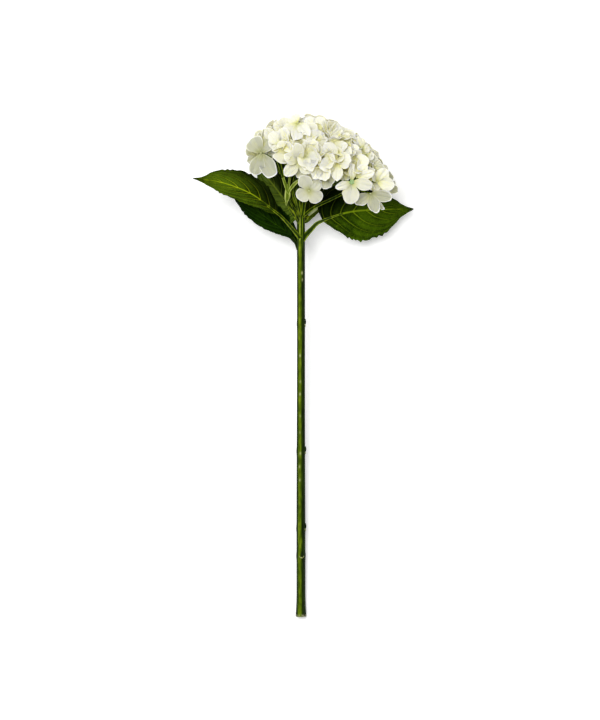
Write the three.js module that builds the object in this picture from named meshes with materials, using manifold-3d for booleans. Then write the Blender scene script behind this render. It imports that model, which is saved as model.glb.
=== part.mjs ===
// A cut mophead hydrangea, lying on its side on a flat surface.
//
// The cane is a long woody green stalk with leaf scars and buds at its nodes. At its top it
// forks into the branches of the flower head, and five toothed leaves spring from its two
// highest nodes. The head is a flattened dome of four-lobed florets on short stalks, and the
// florets underneath are pressed flat where the head rests.
//
// Millimetres. +Z is up from the surface, +Y runs along the cane towards the head, +X is to
// the right when seen from above. Places are given from the cut end of the cane, at ground
// level, and the finished group is then moved so that its origin is under the middle of its box.

import * as THREE from "three";
import { mergeVertices } from "three/addons/utils/BufferGeometryUtils.js";
import Module from "manifold-3d";

const wasm = await Module();
wasm.setup();

// ---------------------------------------------------------------- driving dimensions

const FIT_GAP = 0.3; // clear space between pieces that touch

// cane
const CANE_END_Z = 5.0; // axis height at the cut end
const CANE_TOP = new THREE.Vector3(0.5, 431, 51); // where the head's branches start
const CANE_END_RADIUS = 5.4;
const CANE_MID_RADIUS = 4.6;
const CANE_TOP_RADIUS = 4.1;
const CANE_FLARE = 26; // length of the thicker foot
const CANE_SIDES = 10;
const NODE_SWELL = 0.7; // extra radius at a node
const NODE_HALF_LENGTH = 7;

// head
const HEAD_CENTRE = new THREE.Vector3(20.9, 467.3, 58);
const HEAD_LEAN = THREE.MathUtils.degToRad(24.5); // of the dome's axis, to the right
const DOME_RISE = 47; // from the widest circle to the crown
const DOME_DROP = 36; // from the widest circle to the lowest florets
const DOME_ACROSS = 74; // half width, side to side
const DOME_DEEP = 62; // half width, front to back
const UNDERSIDE_OPENING = 0.6; // share of the half width that the florets leave open below
const GAP_TURN = THREE.MathUtils.degToRad(126); // where the florets part and show the branches
const GAP_WIDTH = THREE.MathUtils.degToRad(22);
const GAP_ANGLE = THREE.MathUtils.degToRad(100); // from the crown to the gap's upper end
const CORE_SHARE = 0.76; // the core's size beside the dome's

// florets
const FLORET_COUNT = 96;
const FLORET_RADIUS = 16;
const FLORET_THICKNESS = 0.8;
const FLORET_STALK_RADIUS = 1.3;
const LEVELS = 5; // the florets' petals overlap at this many heights over the dome
const LEVEL_STEP = 0.045; // from one height to the next, beside the dome's size
const PRESSED_HEIGHT = 0.3; // middle of the outermost petals where they lie on the surface
const PRESSED_STEP = 1.7; // from one height to the next there

// leaves
const LEAF_THICKNESS = 1.0;
const RIB_DEPTH = 1.5; // of the rib's keel under the blade, at the blade's base
const PETIOLE_RADIUS = 2.1;
const TEETH = 13; // on each margin
const ARCH = 0.004; // how fast a blade droops away from its rib, per mm squared

// ---------------------------------------------------------------- colours and finishes

const CANE_GREEN = new THREE.MeshStandardMaterial({ color: 0x49630f, roughness: 0.5 });
const LEAF_GREEN = new THREE.MeshStandardMaterial({ color: 0x334f0c, roughness: 0.5 });
const PETAL_WHITE = new THREE.MeshStandardMaterial({ color: 0xf4f2e2, roughness: 0.7 });

// ---------------------------------------------------------------- solids

// The closed solid of a geometry.
function solidOf(geometry) {
  const bare = geometry.clone();
  for (const name of Object.keys(bare.attributes)) {
    if (name !== "position") bare.deleteAttribute(name);
  }
  const merged = mergeVertices(bare, 1e-4);
  const mesh = new wasm.Mesh({
    numProp: 3,
    vertProperties: merged.attributes.position.array,
    triVerts: new Uint32Array(merged.index.array),
  });
  return new wasm.Manifold(mesh);
}

// The geometry of a solid.
function geometryOf(solid) {
  const mesh = solid.getMesh();
  const geometry = new THREE.BufferGeometry();
  geometry.setAttribute("position", new THREE.BufferAttribute(mesh.vertProperties, 3));
  geometry.setIndex(new THREE.BufferAttribute(mesh.triVerts, 1));
  const flat = geometry.toNonIndexed();
  flat.computeVertexNormals();
  return flat;
}

// The geometry of indexed triangles over points.
function geometryFrom(points, triangles) {
  const geometry = new THREE.BufferGeometry().setFromPoints(points);
  geometry.setIndex(triangles.flat());
  return geometry;
}

// The union of many solids.
function fuse(solids) {
  return wasm.Manifold.union(solids);
}

// The largest body of a solid, without loose scraps.
function mainBody(solid) {
  return solid.decompose().sort((a, b) => b.volume() - a.volume())[0];
}

// A solid box from one corner to the other.
function block(low, high) {
  const size = high.clone().sub(low);
  const geometry = new THREE.BoxGeometry(size.x, size.y, size.z);
  const middle = low.clone().add(high).multiplyScalar(0.5);
  return solidOf(geometry.translate(middle.x, middle.y, middle.z));
}

// What lies under the surface that the flower rests on.
const GROUND = block(new THREE.Vector3(-400, -200, -100), new THREE.Vector3(400, 800, 0));

// A round tube along a curve, its radius a function of the share of the way along.
function taperedTube(curve, radiusAt, steps, sides) {
  const frames = curve.computeFrenetFrames(steps, false);
  const points = [];
  for (let i = 0; i <= steps; i++) {
    const centre = curve.getPointAt(i / steps);
    for (let j = 0; j < sides; j++) {
      const angle = (2 * Math.PI * j) / sides;
      const out = frames.normals[i].clone().multiplyScalar(Math.cos(angle));
      out.addScaledVector(frames.binormals[i], Math.sin(angle));
      points.push(centre.clone().addScaledVector(out, radiusAt(i / steps)));
    }
  }
  const first = points.push(curve.getPointAt(0)) - 1;
  const last = points.push(curve.getPointAt(1)) - 1;
  const triangles = [];
  for (let j = 0; j < sides; j++) {
    const next = (j + 1) % sides;
    for (let i = 0; i < steps; i++) {
      const a = i * sides + j;
      const b = i * sides + next;
      triangles.push([a, b, b + sides], [a, b + sides, a + sides]);
    }
    triangles.push([first, next, j], [last, steps * sides + j, steps * sides + next]);
  }
  return solidOf(geometryFrom(points, triangles));
}

// A thin solid sheet over a surface, triangulated alike on both faces. It stands above the
// surface by one distance, and below it by a distance that is a function of the point's index.
function thickSheet(surface, triangles, above, belowAt) {
  const geometry = geometryFrom(surface, triangles);
  geometry.computeVertexNormals();
  const normals = geometry.attributes.normal;
  const upper = [];
  const under = [];
  surface.forEach((point, i) => {
    const normal = new THREE.Vector3().fromBufferAttribute(normals, i);
    upper.push(point.clone().addScaledVector(normal, above));
    under.push(point.clone().addScaledVector(normal, -belowAt(i)));
  });
  const count = surface.length;
  const faces = [];
  const edges = new Set(triangles.flatMap(([a, b, c]) => [`${a},${b}`, `${b},${c}`, `${c},${a}`]));
  for (const [a, b, c] of triangles) {
    faces.push([a, b, c], [a + count, c + count, b + count]);
  }
  for (const edge of edges) {
    const [a, b] = edge.split(",").map(Number);
    if (edges.has(`${b},${a}`)) continue;
    faces.push([a, a + count, b + count], [a, b + count, b]);
  }
  return solidOf(geometryFrom([...upper, ...under], faces));
}

// ---------------------------------------------------------------- cane and branches

// The cane's axis: straight, and rising evenly from the cut end to the head.
const caneAxis = new THREE.LineCurve3(new THREE.Vector3(0.5, 0, CANE_END_Z), CANE_TOP);
const caneDirection = caneAxis.getTangent(0);

// A point on the cane's axis at a distance Y from the cut end.
function onCane(y) {
  return caneAxis.getPoint(y / CANE_TOP.y);
}

// Nodes: their distance from the cut end, and the side on which the scar's bud stands out.
const NODES = [
  { y: 60, side: 75 },
  { y: 95, side: 0 },
  { y: 172, side: 0 },
  { y: 305, side: 0 },
  { y: 398, side: 90 },
  { y: 421, side: 90 },
];

function caneRadius(y) {
  const foot = Math.max(0, 1 - y / CANE_FLARE) ** 2;
  const taper = THREE.MathUtils.smoothstep(y, 60, 400);
  let radius = THREE.MathUtils.lerp(CANE_MID_RADIUS, CANE_TOP_RADIUS, taper);
  radius += (CANE_END_RADIUS - CANE_MID_RADIUS) * foot;
  for (const node of NODES) {
    const away = (y - node.y) / NODE_HALF_LENGTH;
    radius += NODE_SWELL * Math.exp(-away * away * 4);
  }
  return radius;
}

// The distances from the cut end at which the cane has a ring of points.
function caneStations() {
  const stations = [0, CANE_FLARE / 2, CANE_FLARE, 135, 215, 260, 350, CANE_TOP.y];
  for (const node of NODES) {
    stations.push(node.y - NODE_HALF_LENGTH, node.y, node.y + NODE_HALF_LENGTH);
  }
  return stations.sort((a, b) => a - b);
}

// The cane, its rings square to its axis, with a clearance added all round.
function cane(clearance) {
  const stations = caneStations();
  const across = new THREE.Vector3(1, 0, 0);
  const up = new THREE.Vector3().crossVectors(across, caneDirection);
  const points = [];
  const triangles = [];
  for (const y of stations) {
    for (let j = 0; j < CANE_SIDES; j++) {
      const angle = (2 * Math.PI * (j + 0.5)) / CANE_SIDES;
      const out = across.clone().multiplyScalar(Math.cos(angle)).addScaledVector(up, Math.sin(angle));
      points.push(onCane(y).addScaledVector(out, caneRadius(y) + clearance));
    }
  }
  const first = points.push(onCane(0)) - 1;
  const last = points.push(onCane(CANE_TOP.y)) - 1;
  const top = (stations.length - 1) * CANE_SIDES;
  for (let j = 0; j < CANE_SIDES; j++) {
    const next = (j + 1) % CANE_SIDES;
    for (let i = 0; i < top; i += CANE_SIDES) {
      triangles.push([i + j, i + CANE_SIDES + next, i + next]);
      triangles.push([i + j, i + CANE_SIDES + j, i + CANE_SIDES + next]);
    }
    triangles.push([first, j, next], [last, top + next, top + j]);
  }
  return solidOf(geometryFrom(points, triangles));
}

// A small pointed bud over a leaf scar, at a given turn round the cane (0 is to the right).
function bud(y, turn) {
  const angle = THREE.MathUtils.degToRad(turn);
  const out = new THREE.Vector3(Math.cos(angle), 0, Math.sin(angle));
  const root = onCane(y).addScaledVector(out, caneRadius(y) - 1.6);
  const tip = onCane(y + 4.5).addScaledVector(out, caneRadius(y) + 1.5);
  return taperedTube(new THREE.LineCurve3(root, tip), (t) => 1.9 - 1.4 * t, 1, 5);
}

// The head's branches: each runs from the cane's top, through its bends, into the core.
const BRANCHES = [
  [[0, 404, 53], [-11, 425, 66], [-15, 447, 72], [-10, 470, 66]],
  [[0, 412, 54], [-6, 434, 66], [-4, 452, 72], [4, 472, 68]],
  [[1, 425, 52], [6, 442, 64], [12, 458, 66]],
  [[1, 425, 51], [12, 438, 56], [28, 452, 58]],
  [[0, 425, 50], [8, 440, 42], [18, 456, 40]],
  [[0, 425, 50], [-7, 440, 44], [0, 464, 44]],
  [[0, 425, 51], [-14, 440, 54], [-8, 470, 56]],
];
const BRANCH_ROOT_RADIUS = 2.3;
const BRANCH_TIP_RADIUS = 1.5;

function branch(bends, clearance) {
  const points = bends.map((p) => new THREE.Vector3(...p));
  const [bend, tip] = points.slice(-2);
  tip.addScaledVector(tip.clone().sub(bend).normalize(), 1.5 * clearance);
  const curve = new THREE.CatmullRomCurve3(points);
  const radiusAt = (t) => clearance + THREE.MathUtils.lerp(BRANCH_ROOT_RADIUS, BRANCH_TIP_RADIUS, t);
  return taperedTube(curve, radiusAt, 4, 5);
}

// The cut end is square to the cane, and the cane has a small flat where it lies.
function stem() {
  const pieces = [cane(0)];
  for (const node of NODES.slice(0, 4)) {
    pieces.push(bud(node.y, node.side), bud(node.y, node.side + 180));
  }
  for (const bends of BRANCHES) pieces.push(branch(bends, 0));
  return mainBody(fuse(pieces).subtract(GROUND));
}

// ---------------------------------------------------------------- leaves

// Each leaf: its spine from the cane to the tip, the share of the spine that is petiole, the
// greatest half widths either side of the rib, where along the blade it is widest, how far the
// halves fold up from the rib, and how the blade rolls about it, in degrees at base and tip.
const LEAVES = [
  {
    name: "leaf_left_upper",
    spine: [
      [-1, 397, 50], [-17, 415, 61], [-27, 423.5, 64], [-51, 441, 70], [-82, 453, 68], [-112, 458, 52],
    ],
    petiole: 0.26,
    left: 13,
    right: 20,
    widest: 0.45,
    fold: 18,
    roll: [-10, 12],
  },
  {
    name: "leaf_left_lower",
    spine: [[-3.5, 396, 46], [-11, 401, 44], [-35, 417, 41], [-57, 435, 36], [-78, 450, 24]],
    petiole: 0.05,
    left: 11,
    right: 19,
    widest: 0.4,
    fold: 10,
    roll: [0, 0],
  },
  {
    name: "leaf_left_back",
    spine: [[-1.5, 418, 47.5], [-15, 431, 31], [-29, 447, 22], [-40, 464, 14]],
    petiole: 0.1,
    left: 24,
    right: 16,
    widest: 0.5,
    fold: 8,
    roll: [0, -20],
  },
  {
    name: "leaf_right_lower",
    spine: [[4, 396, 48], [12, 405, 48], [21, 413, 45], [52, 424, 37], [88, 427, 29], [119, 428, 20]],
    petiole: 0.2,
    left: 24,
    right: 33,
    widest: 0.36,
    fold: 10,
    roll: [0, 0],
  },
  {
    name: "leaf_right_back",
    spine: [[2, 416, 47], [12, 426, 32], [28, 437, 17], [46, 446, 9]],
    petiole: 0.2,
    left: 15,
    right: 13,
    widest: 0.5,
    fold: 8,
    roll: [0, 10],
  },
];

// The half width of a blade beside its greatest, at a share of the way from base to tip.
function bladeProfile(share, widest) {
  const bend = Math.log(0.5) / Math.log(widest);
  const swell = Math.sin(Math.PI * share ** bend) ** 0.8;
  const drawnOut = 1 - 0.35 * THREE.MathUtils.smoothstep(share, 0.7, 0.97);
  return swell * drawnOut;
}

// A point of the blade at a share of the way from base to tip, a signed reach from the rib.
function leafPoint(leaf, curve, share, reach) {
  const along = leaf.petiole + (1 - leaf.petiole) * share;
  const tangent = curve.getTangentAt(along);
  const across = new THREE.Vector3().crossVectors(tangent, new THREE.Vector3(0, 0, 1)).normalize();
  const normal = new THREE.Vector3().crossVectors(across, tangent);
  const roll = THREE.MathUtils.lerp(leaf.roll[0], leaf.roll[1], share);
  const turn = THREE.MathUtils.degToRad(roll + leaf.fold * Math.sign(reach));
  across.applyAxisAngle(tangent, turn);
  normal.applyAxisAngle(tangent, turn);
  return curve.getPointAt(along)
    .addScaledVector(across, reach)
    .addScaledVector(normal, -ARCH * reach * reach);
}

// The columns of a blade's points, as shares of the way from the rib to either margin.
const LEAF_COLUMNS = [-1, -0.5, 0, 0.5, 1];

// The blade is a folded, arched sheet with a toothed margin, and its rib is a keel under it.
function blade(leaf, curve, clearance) {
  const rows = 2 * TEETH;
  const columns = LEAF_COLUMNS.length;
  const surface = [];
  const triangles = [];
  for (let i = 0; i <= rows; i++) {
    const share = Math.min(0.995, (i + 0.15) / rows);
    const tooth = i % 2 === 0 ? 0.95 : 1.04;
    const swell = bladeProfile(share, leaf.widest) * tooth;
    for (const column of LEAF_COLUMNS) {
      const half = Math.max(0.6, (column < 0 ? leaf.left : leaf.right) * swell) + clearance;
      surface.push(leafPoint(leaf, curve, share, column * half));
    }
    for (let j = 1; i > 0 && j < columns; j++) {
      const [a, b] = [(i - 1) * columns + j - 1, (i - 1) * columns + j];
      const [c, d] = [i * columns + j - 1, i * columns + j];
      if (j <= columns / 2) triangles.push([a, b, c], [b, d, c]);
      else triangles.push([a, b, d], [a, d, c]);
    }
  }
  const ribDepth = (i) => (i % columns === 2 ? RIB_DEPTH * (1 - i / surface.length) : 0);
  const half = LEAF_THICKNESS / 2 + clearance;
  return thickSheet(surface, triangles, half, (i) => half + ribDepth(i));
}

// A leaf's stalk runs from beside the cane into the base of its rib.
function petiole(leaf, curve, clearance) {
  const steps = 5;
  const places = [];
  for (let i = 0; i <= steps; i++) places.push(curve.getPointAt(((leaf.petiole + 0.05) * i) / steps));
  const radiusAt = (t) => clearance + PETIOLE_RADIUS * (1 - 0.4 * t * t);
  return taperedTube(new THREE.CatmullRomCurve3(places), radiusAt, steps, 6);
}

function leafSolid(leaf, clearance) {
  const curve = new THREE.CatmullRomCurve3(leaf.spine.map((p) => new THREE.Vector3(...p)));
  return blade(leaf, curve, clearance).add(petiole(leaf, curve, clearance));
}

// ---------------------------------------------------------------- head

const headAxis = new THREE.Vector3(Math.sin(HEAD_LEAN), Math.cos(HEAD_LEAN), 0);
const headAcross = new THREE.Vector3(Math.cos(HEAD_LEAN), -Math.sin(HEAD_LEAN), 0);
const headDeep = new THREE.Vector3(0, 0, 1);

// The same number from 0 to 1 each time for a floret and a purpose.
function chance(index, purpose) {
  const wave = Math.sin(index * 127.1 + purpose * 311.7) * 43758.5453;
  return wave - Math.floor(wave);
}

// The dome's outline from crown to underside: radius and height for an angle from the crown.
function domeProfile(angle) {
  const rise = Math.cos(angle) > 0 ? DOME_RISE : DOME_DROP;
  return { radius: Math.sin(angle), height: rise * Math.cos(angle) };
}

// A place on the dome for an angle from the crown and a turn about the axis.
function onDome(angle, turn) {
  const { radius, height } = domeProfile(angle);
  return HEAD_CENTRE.clone()
    .addScaledVector(headAxis, height)
    .addScaledVector(headAcross, radius * DOME_ACROSS * Math.cos(turn))
    .addScaledVector(headDeep, radius * DOME_DEEP * Math.sin(turn));
}

// How far out a point is, beside the dome: 1 on it and 0 at its middle.
function domeShare(point) {
  const away = point.clone().sub(HEAD_CENTRE);
  const rise = away.dot(headAxis);
  const across = away.dot(headAcross) / DOME_ACROSS;
  const deep = away.dot(headDeep) / DOME_DEEP;
  return Math.hypot(rise / (rise > 0 ? DOME_RISE : DOME_DROP), across, deep);
}

// The nearest outward direction at a point of the dome.
function domeNormal(point) {
  const away = point.clone().sub(HEAD_CENTRE);
  const rise = away.dot(headAxis);
  return new THREE.Vector3()
    .addScaledVector(headAxis, rise / (rise > 0 ? DOME_RISE : DOME_DROP) ** 2)
    .addScaledVector(headAcross, away.dot(headAcross) / DOME_ACROSS ** 2)
    .addScaledVector(headDeep, away.dot(headDeep) / DOME_DEEP ** 2)
    .normalize();
}

// A point moved to a level over the dome, and lifted to where the head lies pressed flat.
function toLevel(point, level) {
  const wanted = 1 + LEVEL_STEP * (level - (LEVELS - 1) / 2);
  const away = point.clone().sub(HEAD_CENTRE);
  const moved = HEAD_CENTRE.clone().addScaledVector(away, wanted / domeShare(point));
  moved.z = Math.max(moved.z, PRESSED_HEIGHT + PRESSED_STEP * (LEVELS - 1 - level));
  return moved;
}

// The angle from the crown at which a given share of the dome's area lies above.
const LOWEST_ANGLE = Math.PI - Math.asin(UNDERSIDE_OPENING);
const AREA_STEPS = 200;
const areaAbove = [0];
for (let i = 1; i <= AREA_STEPS; i++) {
  const before = domeProfile((LOWEST_ANGLE * (i - 1)) / AREA_STEPS);
  const after = domeProfile((LOWEST_ANGLE * i) / AREA_STEPS);
  const across = (DOME_ACROSS + DOME_DEEP) / 2;
  const slant = Math.hypot((after.radius - before.radius) * across, after.height - before.height);
  areaAbove.push(areaAbove[i - 1] + slant * (before.radius + after.radius));
}

function angleForShare(share) {
  const wanted = share * areaAbove[AREA_STEPS];
  const i = areaAbove.findIndex((area) => area >= wanted);
  const within = (wanted - areaAbove[i - 1]) / (areaAbove[i] - areaAbove[i - 1]);
  return (LOWEST_ANGLE * (i - 1 + within)) / AREA_STEPS;
}

// Florets follow a spiral of golden angles over the dome, each a little off its place.
const GOLDEN_ANGLE = Math.PI * (3 - Math.sqrt(5));

// The level at which a floret's petals meet the fewest of those already placed.
function clearestLevel(place, index, placed) {
  const crowding = new Array(LEVELS).fill(0);
  for (const other of placed) {
    const near = 1.9 * FLORET_RADIUS - place.distanceTo(other.place);
    if (near > 0) crowding[other.level] += near;
  }
  let best = (2 * index) % LEVELS;
  crowding.forEach((crowd, level) => {
    if (crowd < crowding[best] - 0.5) best = level;
  });
  return best;
}

// Whether a place is in the gap where the florets part.
function inGap(angle, turn) {
  const away = THREE.MathUtils.euclideanModulo(turn - GAP_TURN + Math.PI, 2 * Math.PI) - Math.PI;
  return angle > GAP_ANGLE && Math.abs(away) < GAP_WIDTH / 2;
}

function floretPlaces() {
  const places = [];
  for (let i = 0; i < FLORET_COUNT; i++) {
    const angle = angleForShare((i + 0.5) / FLORET_COUNT);
    const turn = i * GOLDEN_ANGLE + 0.12 * (chance(i, 1) - 0.5);
    if (inGap(angle, turn)) continue;
    const place = onDome(angle, turn);
    const level = clearestLevel(place, i, places);
    const roll = 2 * Math.PI * chance(i, 6);
    const size = FLORET_RADIUS * (0.92 + 0.16 * chance(i, 7));
    places.push({ place, level, roll, size });
  }
  return places;
}

// The rim of one lobe: its turn from the lobe's middle in quarter turns, and its reach beside
// the floret's radius. The first is the notch between two lobes.
const LOBE_RIM = [
  { turn: -0.5, reach: 0.42 },
  { turn: -0.22, reach: 0.97 },
  { turn: 0.22, reach: 0.97 },
];

// A floret: four rounded lobes in one thin sheet that follows the dome, on a stalk that is
// rooted in the core.
function floret({ place, level, roll, size }) {
  const normal = domeNormal(place);
  const side = new THREE.Vector3(Math.abs(normal.y) < 0.9 ? 0 : 1, Math.abs(normal.y) < 0.9 ? 1 : 0, 0);
  const right = new THREE.Vector3().crossVectors(side, normal).normalize();
  right.applyAxisAngle(normal, roll);
  const front = new THREE.Vector3().crossVectors(normal, right);
  const surface = [];
  for (let lobe = 0; lobe < 4; lobe++) {
    for (const rim of LOBE_RIM) {
      const angle = ((lobe + rim.turn) * Math.PI) / 2;
      const point = place.clone()
        .addScaledVector(right, rim.reach * size * Math.cos(angle))
        .addScaledVector(front, rim.reach * size * Math.sin(angle));
      surface.push(toLevel(point, level));
    }
  }
  const rimCount = surface.length;
  const heart = toLevel(place, level);
  surface.push(heart);
  const triangles = [];
  for (let i = 0; i < rimCount; i++) triangles.push([rimCount, i, (i + 1) % rimCount]);
  const sheet = thickSheet(surface, triangles, FLORET_THICKNESS / 2, () => FLORET_THICKNESS / 2);
  const root = HEAD_CENTRE.clone().lerp(heart, 0.9 * CORE_SHARE);
  const stalk = taperedTube(new THREE.LineCurve3(heart, root), () => FLORET_STALK_RADIUS, 1, 3);
  return sheet.add(stalk);
}

// The head's inner mass, out of which the florets stand.
function core() {
  const ball = new THREE.SphereGeometry(1, 14, 8).toNonIndexed();
  const spots = ball.attributes.position;
  const points = [];
  for (let i = 0; i < spots.count; i++) {
    const spot = new THREE.Vector3().fromBufferAttribute(spots, i);
    const rise = spot.y > 0 ? DOME_RISE : DOME_DROP;
    const point = HEAD_CENTRE.clone()
      .addScaledVector(headAxis, CORE_SHARE * rise * spot.y)
      .addScaledVector(headAcross, CORE_SHARE * DOME_ACROSS * spot.x)
      .addScaledVector(headDeep, CORE_SHARE * DOME_DEEP * spot.z);
    points.push(point);
  }
  return solidOf(new THREE.BufferGeometry().setFromPoints(points));
}

// The florets that stand clear of every leaf, fused with the core and pressed flat where the
// head lies, with room for the cane and its branches.
function bloom() {
  const leafSpace = fuse(LEAVES.map((leaf) => leafSolid(leaf, FIT_GAP)));
  const florets = floretPlaces().map(floret);
  const clear = florets.filter((solid) => solid.intersect(leafSpace).isEmpty());
  const stemSpace = [cane(FIT_GAP), ...BRANCHES.map((bends) => branch(bends, FIT_GAP))];
  const whole = fuse([core(), ...clear]);
  return mainBody(whole.subtract(fuse([GROUND, leafSpace, ...stemSpace])));
}

// ---------------------------------------------------------------- assembly

function named(name, solid, material) {
  const mesh = new THREE.Mesh(geometryOf(solid), material);
  mesh.name = name;
  return mesh;
}

const hydrangea = new THREE.Group();
hydrangea.name = "cut_hydrangea";
hydrangea.add(named("stem", stem(), CANE_GREEN));
const caneSpace = cane(FIT_GAP);
for (const leaf of LEAVES) {
  const solid = mainBody(leafSolid(leaf, 0).subtract(caneSpace));
  hydrangea.add(named(leaf.name, solid, LEAF_GREEN));
}
hydrangea.add(named("bloom", bloom(), PETAL_WHITE));

// The origin goes under the middle of the flower's box.
const box = new THREE.Box3().setFromObject(hydrangea);
const middle = box.getCenter(new THREE.Vector3());
for (const mesh of hydrangea.children) mesh.geometry.translate(-middle.x, -middle.y, -box.min.z);

export default hydrangea;
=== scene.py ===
# The finish of a cut mophead hydrangea that lies on its side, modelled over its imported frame.
#
# Lengths below are millimetres from the cut end of the cane at surface level, +Y towards the
# head and +Z up, as the flower was designed. place() turns them into the frame's own metres.
# A side of the cane or of the head is an angle, 0 to the right and 90 degrees on top. Colours
# are linear.

import math
import random
from functools import partial
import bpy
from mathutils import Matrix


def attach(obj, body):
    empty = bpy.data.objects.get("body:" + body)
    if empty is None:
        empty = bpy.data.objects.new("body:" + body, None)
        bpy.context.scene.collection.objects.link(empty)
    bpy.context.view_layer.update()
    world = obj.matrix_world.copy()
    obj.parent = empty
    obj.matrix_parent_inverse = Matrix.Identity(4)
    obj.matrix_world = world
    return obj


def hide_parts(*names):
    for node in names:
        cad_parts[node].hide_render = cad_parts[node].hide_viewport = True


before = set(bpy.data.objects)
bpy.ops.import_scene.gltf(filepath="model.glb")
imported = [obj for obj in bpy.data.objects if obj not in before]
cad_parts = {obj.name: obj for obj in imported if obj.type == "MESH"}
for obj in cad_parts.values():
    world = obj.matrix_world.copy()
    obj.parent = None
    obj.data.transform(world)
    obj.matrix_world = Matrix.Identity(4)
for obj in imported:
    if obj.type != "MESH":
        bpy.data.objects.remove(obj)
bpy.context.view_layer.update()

from types import SimpleNamespace

import bmesh
import bpy
from mathutils import Matrix, Vector, geometry
from mathutils.bvhtree import BVHTree

# ---------------------------------------------------------------- driving dimensions

CUT_END = Vector((-3.413, -262.218, 0.0))  # where the cane's foot lies in the frame, in mm
MM = 0.001
UP = Vector((0.0, 0.0, 1.0))

# camera, light and floor
VIEW_CENTRE = Vector((-0.5, 269.6, 55.0))
VIEW_HEIGHT = 745.9  # of the picture, at the height of the view's centre
LENS = 150.0
SENSOR = 36.0
ROOM_LIGHT = 0.50
LAMP_TOWARDS = Vector((-0.20, 0.24, 1.0))  # from the flower
LAMP_POWER = 74.0
LAMP_DISTANCE = 3.0  # in metres, as the next two are
LAMP_SIDE = 1.5
FLOOR_HALF_SIDE = 6.0
FLOOR_GLOW = 0.22

# head: a dome, with its crown away from the cane and its open underside towards it
HEAD_CENTRE = Vector((20.9, 467.3, 58.0))
HEAD_LEAN = math.radians(24.5)
DOME_RISE = 49.0
DOME_DROP = 36.0
DOME_ACROSS = 74.0
DOME_DEEP = 62.0
UNDERSIDE_OPENING = 0.6
FLORET_COUNT = 165
PETAL_LENGTH = 17.0
PETAL_WIDTH = 17.5
PETAL_THICKNESS = 0.35
SPIRAL_DETAIL = (4, 5)  # faces across and along a petal, before it gets its thickness
FRONT_DETAIL = (14, 10)

# leaves
LEAF_THICKNESS = 0.55
LEAF_ROWS = 120
LEAF_COLUMNS = 28
ARCH = 0.004  # how strongly the halves of a blade curve down
LEAF_WAVE = 0.9
TEETH = 13
SIDE_VEINS = 7.6
VEIN_DEPTH = 0.9
VEIN_SWEEP = 0.85  # how strongly the side veins run on towards the tip
VEIN_BEND = 1.15
VEIN_SPACING = 0.72  # below 1 the side veins lie closer together at the base

# cane
CANE_FOOT = Vector((0.5, 0.0, 5.0))
CANE_TOP = Vector((0.5, 431.0, 51.0))
CANE_END_RADIUS = 5.7
CANE_MID_RADIUS = 4.6
CANE_TOP_RADIUS = 4.1
CANE_FLARE = 26.0  # how far up the foot's wider end reaches
CANE_SIDES = 56
PAINTED_LIGHT_SIDE = math.radians(107)  # where the painted light on the cane's bark is brightest
PAINTED_LIGHT_SPREAD = math.radians(27)
LENTICEL_LENGTH = 1.4
LENTICEL_SPREAD = math.radians(9)


def place(point):
    """A designed point, in the frame's metres."""
    return (Vector(point) + CUT_END) * MM


def designed(spot):
    """A spot in the frame, as it was designed."""
    return spot * 1000.0 - CUT_END


def clamp(value, low=0.0, high=1.0):
    return min(high, max(low, value))


def ease(share):
    """A smooth step from 0 to 1."""
    share = clamp(share)
    return share * share * (3.0 - 2.0 * share)


# ---------------------------------------------------------------- camera and light


def look_straight_down():
    lens = bpy.data.cameras.new("view")
    lens.lens = LENS
    lens.sensor_width = SENSOR
    lens.clip_end = 20.0
    camera = bpy.data.objects.new("view", lens)
    height = VIEW_HEIGHT * LENS / SENSOR
    camera.location = place(VIEW_CENTRE + UP * height)
    bpy.context.scene.collection.objects.link(camera)
    bpy.context.scene.camera = camera


def light_the_room():
    world = bpy.data.worlds.new("room")
    world.use_nodes = True
    background = world.node_tree.nodes["Background"]
    background.inputs["Color"].default_value = (1.0, 1.0, 1.0, 1.0)
    background.inputs["Strength"].default_value = ROOM_LIGHT
    bpy.context.scene.world = world
    bpy.context.scene.view_settings.view_transform = "Standard"


def hang_soft_lamp():
    lamp = bpy.data.lights.new("key", "AREA")
    lamp.size = LAMP_SIDE
    lamp.energy = LAMP_POWER
    holder = bpy.data.objects.new("key", lamp)
    direction = LAMP_TOWARDS.normalized()
    holder.location = place(VIEW_CENTRE) + direction * LAMP_DISTANCE
    holder.rotation_euler = direction.to_track_quat("Z", "Y").to_euler()
    bpy.context.scene.collection.objects.link(holder)


# ---------------------------------------------------------------- shader nodes

BLACK = (0.0, 0.0, 0.0)
WHITE = (1.0, 1.0, 1.0)


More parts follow.
